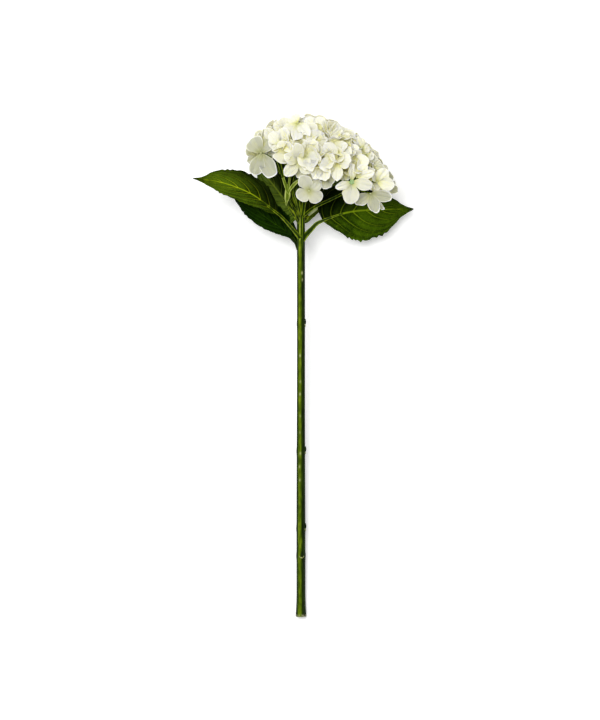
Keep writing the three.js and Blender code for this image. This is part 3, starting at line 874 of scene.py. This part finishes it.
FRONT_FLORETS = (
    # Florets of the head's face: the heart, how grey its petals are as painted shade, and each
    # petal's tip, width and roll.
    ((9, 443, 97), 0.55, (
        (-3, 435, 93, 16, 0), (21, 433, 93, 16, 0), (21, 452, 103, 12, 0), (2, 458, 108, 15, 0))),
    ((52, 451, 108), 0.2, (
        (36, 445, 108, 9, 0), (51, 429, 100, 17, 0), (73, 447, 104, 13, 0),
        (52, 470, 106, 10, 30), (44, 437, 101, 8, 0))),
    ((57, 456, 107), 0.0, (
        (75, 461, 105, 10, 0), (67, 469, 104, 11, 0), (50, 468, 104, 9, 0))),
    ((71, 440, 94), 0.9, (
        (57, 430, 92, 13, 0), (78, 421, 88, 13, 0), (93, 436, 85, 12, 0), (85, 424, 83, 6, 0))),
    ((78, 452, 95), 0.1, (
        (96, 448, 89, 14, 0), (88, 465, 91, 14, 0), (71, 462, 99, 10, 30))),
    ((91, 451, 78), 1.0, (
        (99, 441, 75, 10, 0), (90, 463, 80, 9, 0), (98, 453, 72, 8, 40))),
    ((75, 468, 90), 0.6, (
        (86, 466, 82, 9, 0), (74, 481, 83, 10, 20), (82, 474, 82, 9, 0))),
    ((68, 480, 95), 0.1, (
        (60, 463, 106, 12, 0), (75, 477, 86, 9, 0))),
    ((63, 486, 92), 0.2, (
        (50, 482, 104, 11, 0), (71, 486, 84, 9, 0), (59, 498, 84, 12, 0), (51, 500, 88, 10, 30))),
    ((42, 487, 103), 0.1, (
        (49, 502, 90, 12, 0), (50, 478, 109, 12, 0), (42, 505, 88, 10, 50),
        (31, 497, 104, 13, 0))),
    ((37, 472, 111), 0.0, (
        (51, 473, 115, 17, 0), (37, 452, 114, 13, 0), (20, 465, 120, 16, 0),
        (25, 490, 114, 16, 0))),
    ((21, 468, 113), 0.1, (
        (26, 452, 117, 16, 0), (13, 454, 113, 12, 0), (12, 467, 115, 9, 40))),
    ((27, 455, 106), 0.8, (
        (26, 444, 103, 12, 0), (35, 452, 106, 9, 0))),
    ((9, 476, 112), 0.2, (
        (-6, 487, 112, 15, 0), (12, 462, 118, 14, 0), (5, 492, 112, 13, 0),
        (21, 487, 114, 15, 0))),
    ((-3, 512, 96), 0.0, (
        (-4, 493, 116, 13, 0), (-17, 504, 97, 12, 0), (9, 499, 105, 12, 0),
        (-9, 520, 86, 14, 0))),
    ((-20, 490, 101), 0.0, (
        (-31, 502, 94, 14, 0), (-15, 507, 98, 14, 0), (-4, 486, 110, 14, 0),
        (-28, 482, 99, 9, 20))),
    ((-1, 472, 112), 0.3, (
        (-3, 490, 121, 12, 0), (-16, 458, 104, 13, 0), (10, 460, 112, 13, 0),
        (-16, 478, 112, 14, 0))),
    ((4, 477, 112), 0.1, (
        (17, 491, 119, 16, 0), (21, 474, 118, 13, 0), (7, 463, 114, 12, 0))),
    ((-26, 495, 92), 0.2, (
        (-36, 506, 84, 12, 0), (-40, 498, 82, 11, 30))),
    ((-15, 505, 92), 0.2, (
        (-27, 513, 83, 13, 0), (-18, 519, 82, 12, 0))),
    ((17, 503, 97), 0.0, (
        (6, 518, 84, 14, 0), (20, 519, 83, 14, 0), (8, 491, 109, 14, 0), (20, 484, 112, 11, 0))),
    ((29, 495, 101), 0.1, (
        (23, 515, 90, 11, 55), (29, 515, 90, 10, 65), (36, 512, 90, 10, 60),
        (42, 507, 92, 11, 35))),
    ((-40, 482, 85), 0.9, (
        (-27, 458, 86, 19, 10), (-50, 498, 83, 19, 0), (-48, 460, 77, 16, -15),
        (-31, 495, 86, 17, 0))),
    ((-33, 486, 82), 0.6, (
        (-26, 478, 84, 11, 0), (-44, 503, 80, 10, 60), (-38, 507, 83, 10, 60))),
    ((-44, 479, 72), 0.8, (
        (-56, 487, 70, 11, 0), (-55, 474, 68, 10, 0), (-35, 489, 74, 13, 0))),
    ((6, 470, 99), 0.3, (
        (-3, 456, 97, 13, 0), (13, 454, 98, 14, 0), (25, 460, 99, 13, 0))),
    ((-33, 490, 80), 0.4, (
        (-46, 505, 76, 15, 0), (-34, 508, 80, 12, 0))),
    ((46, 463, 97), 0.3, (
        (36, 469, 99, 14, 0), (56, 472, 99, 14, 0), (43, 453, 98, 13, 0))),
)
OPEN_FLORET = 1  # its green heart shows
FLAT_FLORETS = (0, 1, 3, 22)  # the others are cupped, so that their hearts lie deeper
CUPPED_HEART = 7.0
PETAL_MIDDLE = 0.6  # of the way to its tip, where a front petal covers the most
FLAT_COVER = 17.0  # how far round there it hides the florets behind
CUPPED_COVER = 15.0

SHOULDER = math.radians(80)  # from the crown
HEART_SHARE = 0.83  # of the way out to the dome, for a floret of the spiral
HEART_STAGGER = 0.04
UNDERSIDE_SINK = 0.10
BACKING_SHARE = 0.81  # the same for one behind the listed front florets
FLAT_BACKING_SINK = 0.10
SPIRAL_CUP = (18, 56)  # how far petals rise from their floret's plane, in degrees
CROWN_CUP = 10
BACKING_CUP = (40, 70)
FLORET_LEAN = 0.24
FLORET_SIZE = (0.92, 1.08)

GAP_SIDE = math.radians(128)  # the gap in the underside where the branches come in
GAP_HALF_WIDTH = math.radians(32)
GAP_FROM = math.radians(94)

HEM = (  # the lower edge of the head's face
    Vector((-60, 482)), Vector((-10, 478)), Vector((10, 471)), Vector((34, 467)),
    Vector((48, 463)), Vector((62, 450)), Vector((110, 440)),
)
HEM_HEIGHT = 60.0
HEM_SLOPE = 0.25

PARTING = (Vector((-31, 489)), Vector((-22, 475)), Vector((-17, 455)))  # over a branch
PARTING_HALF_WIDTH = 7.0
PARTING_DEPTH = 15.0


def in_gap(angle, turn):
    """Whether a place is where the branches come in."""
    away = (turn - GAP_SIDE + math.pi) % (2 * math.pi) - math.pi
    return angle > GAP_FROM and abs(away) < GAP_HALF_WIDTH


def over_the_leaves(point):
    """Whether a floret would hang below the hem of the head's face, over the leaves."""
    for start, end in zip(HEM, HEM[1:]):
        if start.x <= point.x <= end.x:
            hem = start.lerp(end, (point.x - start.x) / (end.x - start.x)).y
            return point.y < hem + HEM_SLOPE * max(0.0, HEM_HEIGHT - point.z)
    return False


def in_parting(point):
    """Whether a place is where the florets part and show a branch."""
    if point.z <= HEAD_CENTRE.z - PARTING_DEPTH:
        return False
    flat = point.to_2d()
    for start, end in zip(PARTING, PARTING[1:]):
        _, share = geometry.intersect_point_line(flat, start, end)
        if (flat - start.lerp(end, clamp(share))).length < PARTING_HALF_WIDTH:
            return True
    return False


def front_covers():
    """What the front petals hide: the middle of each, and whether its floret is a flat one."""
    covers = []
    for index, (heart, _, tips) in enumerate(FRONT_FLORETS):
        for tip in tips:
            middle = Vector(heart).lerp(Vector(tip[:3]), PETAL_MIDDLE).to_2d()
            covers.append((middle, index in FLAT_FLORETS))
    return covers


def heart_share(index, angle):
    """How far out a heart of the spiral lies: staggered, and deeper on the underside."""
    below = max(0.0, angle - SHOULDER)
    return HEART_SHARE + HEART_STAGGER * ((2 * index) % 5 - 2) / 2 - UNDERSIDE_SINK * below


def floret_places(draw):
    """The florets of the whole dome: the heart, the way that each faces, and its form."""
    covers = front_covers()
    florets = []
    for i, angle in enumerate(area_angles(FLORET_COUNT)):
        turn = i * GOLDEN_ANGLE + draw.uniform(-0.08, 0.08)
        heart = on_dome(angle, turn, heart_share(i, angle))
        cup = draw.uniform(*SPIRAL_CUP) + CROWN_CUP * (1.0 - min(1.0, angle / SHOULDER))
        nearest, flat = min(((heart.to_2d() - middle).length, flat) for middle, flat in covers)
        behind = heart.z > HEAD_CENTRE.z and nearest < (FLAT_COVER if flat else CUPPED_COVER)
        if behind:
            heart = on_dome(angle, turn, BACKING_SHARE - (FLAT_BACKING_SINK if flat else 0.0))
            cup = draw.uniform(*BACKING_CUP)
        if in_gap(angle, turn) or over_the_leaves(heart) or in_parting(heart):
            continue
        facing = dome_normal(heart)
        lean = Vector([draw.uniform(-1, 1) for _ in range(3)]) * FLORET_LEAN
        sunk = PETAL_LENGTH * max(0.0, math.sin(math.radians(cup)) - 0.5)
        florets.append(SimpleNamespace(
            heart=heart - facing * sunk, facing=(facing + lean).normalized(),
            turn=draw.uniform(0, math.pi / 2), size=draw.uniform(*FLORET_SIZE),
            cup=cup, behind=behind))
    return florets


# ---------------------------------------------------------------- petals

CLAW_START = 0.8  # from the heart
WAIST = 0.50  # how wide a petal is at its claw, as a share of its width
WAIST_END = 0.45
CREASE_SPREAD = 0.18
FRONT_CREASE = 1.6  # how much deeper the front petals are creased
RAGGED_SHADE = 0.85  # front florets that are greyer have ragged petals
RESTING_HEIGHT = 3.0
CROWDED_REACH = 0.012  # in metres, how far over a petal another one still shades it
CLEAR_OF_SELF = 0.0008
WAYS_ROUND = 5


class PetalSheet:
    """A mesh for petals, with a UV map and layers for how grey they are and for the painted shade
    where other petals crowd over them.
    """

    def __init__(self):
        self.work = bmesh.new()
        self.uv = self.work.loops.layers.uv.new("UVMap")
        self.tone = self.work.verts.layers.float.new("tone")
        self.crowded_shade = self.work.verts.layers.float.new("crowded_shade")


def petal_habit(detail, ragged, draw):
    """How one petal differs from the others. Finer ones are pleated too."""
    habit = SimpleNamespace(
        bow=draw.uniform(-0.10, 0.14), dish=draw.uniform(0.02, 0.24),
        sway=draw.uniform(-0.16, 0.16), point=ragged * max(0.0, draw.uniform(-0.12, 0.14)),
        phase=draw.uniform(0, 6.3), lobes=ragged * draw.uniform(0.01, 0.05),
        crimp=draw.uniform(0.3, 1.2), crease=draw.uniform(0.1, 0.7), pleat=0.0)
    if detail == FRONT_DETAIL:
        habit.pleat = draw.uniform(0.35, 0.75)
        habit.crease *= FRONT_CREASE
    return habit


def petal_form(habit, length, width, disc_x, disc_y):
    """Where a place of a disc comes to lie on a petal: how far out, how far aside, how high."""
    along = (disc_y + 1.0) / 2.0
    outness = disc_x * disc_x + disc_y * disc_y
    bearing = math.atan2(disc_y, disc_x)
    waves = math.sin(3 * bearing + habit.phase) + 0.6 * math.sin(5 * bearing + 2 * habit.phase)
    wavy = 1.0 + outness * habit.lobes * waves
    peak = 1.0 + habit.point * max(0.0, along - 0.6) * (1.0 - abs(disc_x)) * 2.0
    out = CLAW_START + (length - CLAW_START) * along * peak * wavy
    waist = WAIST + (1.0 - WAIST) * min(1.0, along / WAIST_END) ** 0.8
    aside = disc_x * waist * width / 2.0 * wavy
    rise = habit.bow * length * 4.0 * along * (1.0 - along)
    rise += habit.dish * abs(aside) * abs(disc_x) + habit.sway * aside * along
    rise += habit.crimp * along * outness * math.sin(4 * bearing + habit.phase)
    rise -= habit.crease * bell(disc_x, CREASE_SPREAD) * along
    rise += habit.pleat * math.sin(9.0 * disc_x + habit.phase) * along
    return out, aside, rise


def rest_height(z):
    """Petals under the head are pressed flat on the surface and keep a little apart."""
    return z if z > RESTING_HEIGHT else 0.5 + 2.5 * math.exp((z - RESTING_HEIGHT) / 2.5)


def petal(sheet, heart, tip, facing, width, shade, detail, ragged, draw):
    """A petal from a heart to its tip: a disc drawn out to a claw, cupped and ruffled.

    detail is how many faces it has across and along, and ragged is how irregular its margin
    is, from 0 to 1.
    """
    length = (tip - heart).length
    outward = (tip - heart).normalized()
    normal = (facing - outward * facing.dot(outward)).normalized()
    sideways = normal.cross(outward)
    habit = petal_habit(detail, ragged, draw)
    columns, rows = detail
    grid = bmesh.ops.create_grid(sheet.work, x_segments=columns, y_segments=rows, size=1.0)
    spots = {}
    for vertex in grid["verts"]:
        x, y = vertex.co.x, vertex.co.y
        disc_x = x * math.sqrt(1.0 - y * y / 2.0)
        disc_y = y * math.sqrt(1.0 - x * x / 2.0)
        spots[vertex] = (disc_x / 2.0 + 0.5, disc_y / 2.0 + 0.5)
        out, aside, rise = petal_form(habit, length, width, disc_x, disc_y)
        spot = heart + outward * out
        spot += sideways * aside + normal * rise
        spot.z = rest_height(spot.z)
        vertex.co = place(spot)
        vertex[sheet.tone] = shade
    for face in {face for vertex in grid["verts"] for face in vertex.link_faces}:
        for loop in face.loops:
            loop[sheet.uv].uv = spots[loop.vert]


def spiral_floret(sheet, floret, draw):
    """Four petals that stand about a heart of the dome's spiral."""
    normal = floret.facing
    across = normal.orthogonal().normalized()
    for index in range(4):
        turn = floret.turn + index * math.pi / 2 + draw.uniform(-0.14, 0.14)
        outward = Matrix.Rotation(turn, 3, normal) @ across
        cup = math.radians(floret.cup + draw.uniform(-9, 9))
        length = PETAL_LENGTH * floret.size * draw.uniform(0.92, 1.06)
        width = PETAL_WIDTH * floret.size * draw.uniform(0.90, 1.10)
        heart = floret.heart + normal * (0.5 * index / 4)
        tip = heart + (outward * math.cos(cup) + normal * math.sin(cup)) * length
        shade = draw.uniform(0.0, 0.2)
        petal(sheet, heart, tip, normal, width, shade, SPIRAL_DETAIL, 1.0, draw)


def front_floret(sheet, heart, shade, tips, draw):
    """A floret of the head's face, whose petals are placed one by one."""
    ragged = 0.9 if shade > RAGGED_SHADE else 0.3
    for x, y, z, width, roll in tips:
        tip = Vector((x, y, z))
        facing = UP + dome_normal(heart.lerp(tip, PETAL_MIDDLE)) * 0.5
        turned = Matrix.Rotation(math.radians(roll), 3, (tip - heart).normalized()) @ facing
        petal(sheet, heart, tip, turned, width, shade, FRONT_DETAIL, ragged, draw)


def closed_over(spot, trees):
    """How closely petals stand over a spot in the frame, from 0 to 1."""
    out = dome_normal(designed(spot))
    aside = out.orthogonal().normalized()
    ways = [out]
    for i in range(WAYS_ROUND):
        around = Matrix.Rotation(i * 2.0 * math.pi / WAYS_ROUND, 3, out) @ aside
        ways.append((out + around).normalized())
    closed = 0.0
    for way in ways:
        start = spot + way * CLEAR_OF_SELF
        hits = [tree.ray_cast(start, way, CROWDED_REACH)[3] for tree in trees]
        near = min((hit for hit in hits if hit is not None), default=CROWDED_REACH)
        closed += 1.0 - (near / CROWDED_REACH) ** 2
    return closed / len(ways)


def paint_shade_where_crowded(*sheets):
    """Write to each petal's vertices how closely other petals stand over them, which the petal
    material paints as shade.
    """
    trees = [BVHTree.FromBMesh(sheet.work) for sheet in sheets]
    for sheet in sheets:
        for vertex in sheet.work.verts:
            vertex[sheet.crowded_shade] = closed_over(vertex.co, trees)


# ---------------------------------------------------------------- hearts and the whole bloom

BEAD_LEAST_HEIGHT = 2.0
BEAD_FLATNESS = 0.8
LOBES = 5  # of the open true flower
LOBE_OUT = 1.7  # from its middle
LOBE_UP = 0.4
STALK_LEAST_HEIGHT = 2.2
SEED = 11


def heart_bead(work, heart, facing, radius, freshness):
    """A little flattened knob on a heart."""
    fresh = work.verts.layers.float["fresh"]
    centre = heart + facing * 1.0
    centre.z = max(BEAD_LEAST_HEIGHT, centre.z)
    turn = facing.to_track_quat("Z", "Y").to_matrix().to_4x4()
    flattened = Matrix.Diagonal((1.0, 1.0, BEAD_FLATNESS, 1.0))
    shape = Matrix.Translation(place(centre)) @ turn @ flattened
    bead = bmesh.ops.create_icosphere(work, subdivisions=1, radius=radius * MM, matrix=shape)
    for vertex in bead["verts"]:
        vertex[fresh] = freshness


def open_heart(work, heart, facing):
    """The one open true flower that shows: five small green lobes round a knob."""
    across = facing.orthogonal().normalized()
    for i in range(LOBES):
        out = Matrix.Rotation(i * 2.0 * math.pi / LOBES, 3, facing) @ across
        heart_bead(work, heart + out * LOBE_OUT + facing * LOBE_UP, facing, 1.2, freshness=1.0)
    heart_bead(work, heart + facing * 1.0, facing, 1.1, freshness=0.7)


def floret_stalk_radius(share):
    return 0.75 + 0.35 * share


def floret_stalk(work, heart):
    """A stalk from the heart of a floret down to the branches inside the head."""
    start = Vector((heart.x, heart.y, max(STALK_LEAST_HEIGHT, heart.z)))
    middle = HEAD_CENTRE.lerp(start, 0.68) - HEAD_AXIS * 3.0
    root = HEAD_CENTRE.lerp(start, 0.35) - HEAD_AXIS * 8.0
    tube(work, smooth_path((start, middle, root), 8.0), floret_stalk_radius, 6)


def spiral_bloom(petals, hearts, stalks, draw):
    """The florets of the dome's spiral. Those behind the front ones have no bead."""
    for floret in floret_places(draw):
        spiral_floret(petals, floret, draw)
        if not floret.behind:
            heart_bead(hearts, floret.heart, floret.facing, 1.1, freshness=0.2)
        floret_stalk(stalks, floret.heart)


def front_bloom(petals, hearts, stalks, draw):
    """The florets of the head's face, whose places are listed one by one."""
    for index, (place_of_heart, shade, tips) in enumerate(FRONT_FLORETS):
        heart = Vector(place_of_heart)
        if index not in FLAT_FLORETS:
            heart.z -= CUPPED_HEART
        front_floret(petals, heart, shade, tips, draw)
        facing = (UP + dome_normal(heart)).normalized()
        if index == OPEN_FLORET:
            open_heart(hearts, heart, facing)
        else:
            heart_bead(hearts, heart, facing, 1.0, freshness=0.1)
        floret_stalk(stalks, heart)


def bloom_pieces(petal_finish, heart_finish, stalk_finish):
    """The head: its petals, the hearts of its florets and the stalks that carry them."""
    draw = random.Random(SEED)
    petals = PetalSheet()
    fronts = PetalSheet()
    hearts = bmesh.new()
    hearts.verts.layers.float.new("fresh")
    stalks = bmesh.new()
    spiral_bloom(petals, hearts, stalks, draw)
    front_bloom(fronts, hearts, stalks, draw)
    paint_shade_where_crowded(petals, fronts)
    thicken(petals.work, PETAL_THICKNESS)
    thicken(fronts.work, PETAL_THICKNESS)
    finish_piece(petals.work, "petals", petal_finish, "bloom")
    finish_piece(fronts.work, "front_petals", petal_finish, "bloom")
    finish_piece(hearts, "hearts", heart_finish, "bloom")
    finish_piece(stalks, "floret_stalks", stalk_finish, "bloom")


# ---------------------------------------------------------------- cane and branches

BUDS = ((64, 82), (93, 8), (174, 5), (307, 0))  # Y, and the side of the cane in degrees
LEAF_NODES = (398, 421)
NODES = tuple(y for y, _ in BUDS) + LEAF_NODES
NODE_SWELL = 0.35
NODE_LENGTH = 3.5
BUD_BENDS = ((0.0, 0, -1.0), (2.5, 0, 0.0), (5.5, 0, 0.5))  # up the cane, round it, off the bark
SCAR_BENDS = ((0.3, 34, -0.1), (-1.4, 16, 0.0), (-1.9, 0, 0.1), (-1.4, -16, 0.0), (0.3, -34, -0.1))

LENTICELS = (
    # Small corky marks: Y, the side of the cane they are on in degrees, and how pale they are.
    (360, 75, 1.0), (353, 70, 0.6), (274, 104, 1.0), (247, 100, 0.6), (234, 104, 1.0),
    (211, 100, 0.4), (194, 104, 0.4), (172, 98, 0.9), (158, 110, 0.7), (144, 105, 0.7),
)

TAPER_FROM = 60.0  # along the cane, where it begins to thin towards its top
TAPER_OVER = 340.0
FORK_FROM = 414.0  # and where it thins out among its branches
FORK_OVER = 17.0
FORK_THINNING = 0.45
YOUNG_FROM = 380.0  # from here on the bark is ribbed
YOUNG_OVER = 20.0
YOUNG_RIBS = 9
BARK_LEAST_HEIGHT = 0.15

BRANCHES = (
    # The head's branches: the radius at the foot, in the middle and at the end, and the bends.
    (1.0, 1.1, 0.7, ((-2, 411, 57), (-7, 419, 63), (-12, 426, 69), (-14.4, 432, 73))),
    (0.7, 3.1, 1.5, ((-14.8, 429, 73), (-14, 435, 76), (-13.2, 440, 77), (-13.5, 445, 77),
                     (-14.5, 450, 77))),
    (1.2, 1.6, 1.4, ((-13.4, 442, 79), (-15, 448, 79.5), (-18, 457, 80))),
    (1.2, 2.0, 2.0, ((-16.5, 453, 78.5), (-20, 465, 79), (-23.5, 477, 80), (-29, 490, 78))),
    (1.2, 1.8, 1.3, ((-13.0, 440, 79), (-10, 446, 79), (-4.5, 452, 80), (2, 456, 84))),
    (0.9, 1.3, 0.8, ((-13.2, 443, 79), (-12, 450, 80), (-11, 457, 82))),
    (0.8, 0.8, 0.8, ((-13, 445, 76), (-12, 451, 75), (-11, 462, 74), (-10, 472, 74))),
    (1.2, 1.0, 1.0, ((-2, 415, 57), (-8, 428, 64), (-11.5, 435, 70), (-12.5, 441, 74))),
    (1.4, 1.2, 1.0, ((-1, 418, 56), (-5, 432, 66), (-8, 446, 72), (-4, 466, 72))),
    (2.3, 2.0, 1.6, ((-1, 420, 54), (-2.5, 434, 60), (-2, 450, 66), (4, 468, 68))),
    (2.3, 2.0, 1.6, ((2, 420, 53), (4, 434, 58), (8, 448, 62), (14, 462, 66))),
    (1.6, 1.5, 1.3, ((1, 417, 51), (11, 425.5, 54), (21, 431, 56), (33, 436.5, 58),
                     (45, 442.5, 61), (56, 450, 66))),
    (2.4, 2.6, 2.4, ((-14, 452, 64), (-17, 464, 65), (-19, 478, 66), (-22, 494, 64))),
    (1.6, 1.8, 1.6, ((-20, 462, 68), (-26, 474, 68), (-34, 486, 66))),
    (1.8, 1.8, 1.6, ((0, 425, 50), (8, 440, 46), (22, 458, 50), (44, 474, 60))),
    (1.8, 1.8, 1.6, ((14, 450, 48), (34, 452, 58), (54, 456, 74), (70, 462, 82))),
    (1.8, 1.5, 1.2, ((0, 425, 50), (-7, 440, 44), (0, 464, 44))),
    (1.6, 1.4, 1.2, ((0, 422, 51), (-12, 440, 54), (-10, 466, 56))),
)
YOUNG_BRANCHES = (1, 2, 4, 5)  # these are paler
BRANCH_GROOVE = 0.2


def cane_axis(y):
    return CANE_FOOT.lerp(CANE_TOP, y / CANE_TOP.y)


def cane_radius(y):
    """Widest at the cut end, thinner towards the top, and swollen at the nodes."""
    radius = CANE_MID_RADIUS
    radius += (CANE_TOP_RADIUS - CANE_MID_RADIUS) * ease((y - TAPER_FROM) / TAPER_OVER)
    radius += (CANE_END_RADIUS - CANE_MID_RADIUS) * max(0.0, 1.0 - y / CANE_FLARE) ** 2
    radius -= FORK_THINNING * CANE_TOP_RADIUS * max(0.0, (y - FORK_FROM) / FORK_OVER)
    for node in NODES:
        radius += NODE_SWELL * bell(y - node, NODE_LENGTH)
    return radius


def cane_radius_by_share(share):
    return cane_radius(share * CANE_TOP.y)


def painted_light_and_young_ribs(y, side):
    """How light a green the bark is: painted light in a band down one side, and pale ribs at the
    cane's young end.
    """
    ribs = 0.30 + 0.70 * math.sin(YOUNG_RIBS * side - 2.5)
    young = clamp((y - YOUNG_FROM) / YOUNG_OVER)
    return math.exp(-((side - PAINTED_LIGHT_SIDE) / PAINTED_LIGHT_SPREAD) ** 4) + young * ribs


def cork(y, side):
    """How corky the bark is, from 0 to 1 in the middle of a pale mark."""
    marks = [0.0]
    for mark_y, mark_side, pale in LENTICELS:
        along = bell(y - mark_y, LENTICEL_LENGTH)
        marks.append(pale * along * bell(side - math.radians(mark_side), LENTICEL_SPREAD))
    return max(marks)


def cane_piece(material):
    """The cane, a little ribbed, with its painted light, pale ribs and corky marks held at its
    vertices.
    """
    work = bmesh.new()
    path = [cane_axis(y) for y in range(round(CANE_TOP.y) + 1)]
    tube(work, path, cane_radius_by_share, CANE_SIDES)
    painted_light_and_ribs = work.verts.layers.float.new("painted_light_and_ribs")
    corky = work.verts.layers.float.new("corky")
    for vertex in work.verts:
        spot = designed(vertex.co)
        out = spot - cane_axis(spot.y)
        side = math.atan2(out.z, out.x)
        vertex[painted_light_and_ribs] = painted_light_and_young_ribs(spot.y, side)
        vertex[corky] = cork(spot.y, side)
        ridge = 0.10 * math.sin(6 * side + 0.02 * spot.y) + 0.06 * math.sin(11 * side)
        spot += out.normalized() * ridge
        spot.z = max(BARK_LEAST_HEIGHT, spot.z)
        vertex.co = place(spot)
    finish_piece(work, "cane", material, "stem")


def bark_path(y, side, bends):
    """A curve at a side of the cane: its points are so far up, round and off the bark."""
    points = []
    for height, turn, rise in bends:
        angle = math.radians(side + turn)
        out = Vector((math.cos(angle), 0.0, math.sin(angle)))
        points.append(cane_axis(y + height) + out * (cane_radius(y + height) + rise))
    return smooth_path(points, 0.5)


def bud_radius(share):
    return 1.35 * math.cos(1.5 * share) + 0.05


def scar_radius(share):
    return 0.12 + 0.55 * math.sin(math.pi * share)


def bud_pieces(bark):
    """Small buds pressed against the cane, and under each the crescent scar of a fallen leaf."""
    buds = bmesh.new()
    scars = bmesh.new()
    for y, side in BUDS:
        tube(buds, bark_path(y, side, BUD_BENDS), bud_radius, 12)
        tube(scars, bark_path(y, side, SCAR_BENDS), scar_radius, 10)
    finish_piece(buds, "buds", bark, "stem")
    finish_piece(scars, "leaf_scars", scar_material(), "stem")


def branch_radius(foot, middle, end, share):
    """A branch's radius, which may swell or shrink in its middle."""
    bulge = middle - (foot + end) / 2
    return foot + (end - foot) * share + bulge * math.sin(math.pi * share) ** 2


def branch_pieces(young_finish, old_finish):
    """The branches between the cane and the florets. A few are young and pale."""
    young = bmesh.new()
    old = bmesh.new()
    for i, (foot, middle, end, bends) in enumerate(BRANCHES):
        work = young if i in YOUNG_BRANCHES else old
        radius_at = partial(branch_radius, foot, middle, end)
        groove_tube(work, smooth_path(bends, 1.5), radius_at, BRANCH_GROOVE)
    finish_piece(young, "young_branches", young_finish, "stem")
    finish_piece(old, "head_branches", old_finish, "stem")


# ---------------------------------------------------------------- the floor and the whole flower


def lay_floor():
    work = bmesh.new()
    bmesh.ops.create_grid(work, x_segments=1, y_segments=1, size=FLOOR_HALF_SIDE)
    floor = to_object(work, "floor", floor_material(), smooth=False)


def main():
    look_straight_down()
    light_the_room()
    hang_soft_lamp()
    lay_floor()
    stalks = {name: stalk_material(name, *greens) for name, greens in STALK_GREENS.items()}
    for name, greens in LEAF_GREENS.items():
        stalk = "shaded_stalk" if name == SHADED_LEAF else "stalk"
        leaf_pieces(name, leaf_material(**greens), stalks[stalk])
    rolled_margin(margin_material())
    bloom_pieces(petal_material(), heart_material(), stalks["branch"])
    bark = cane_material()
    cane_piece(bark)
    bud_pieces(bark)
    branch_pieces(stalks["young_branch"], stalks["branch"])


main()
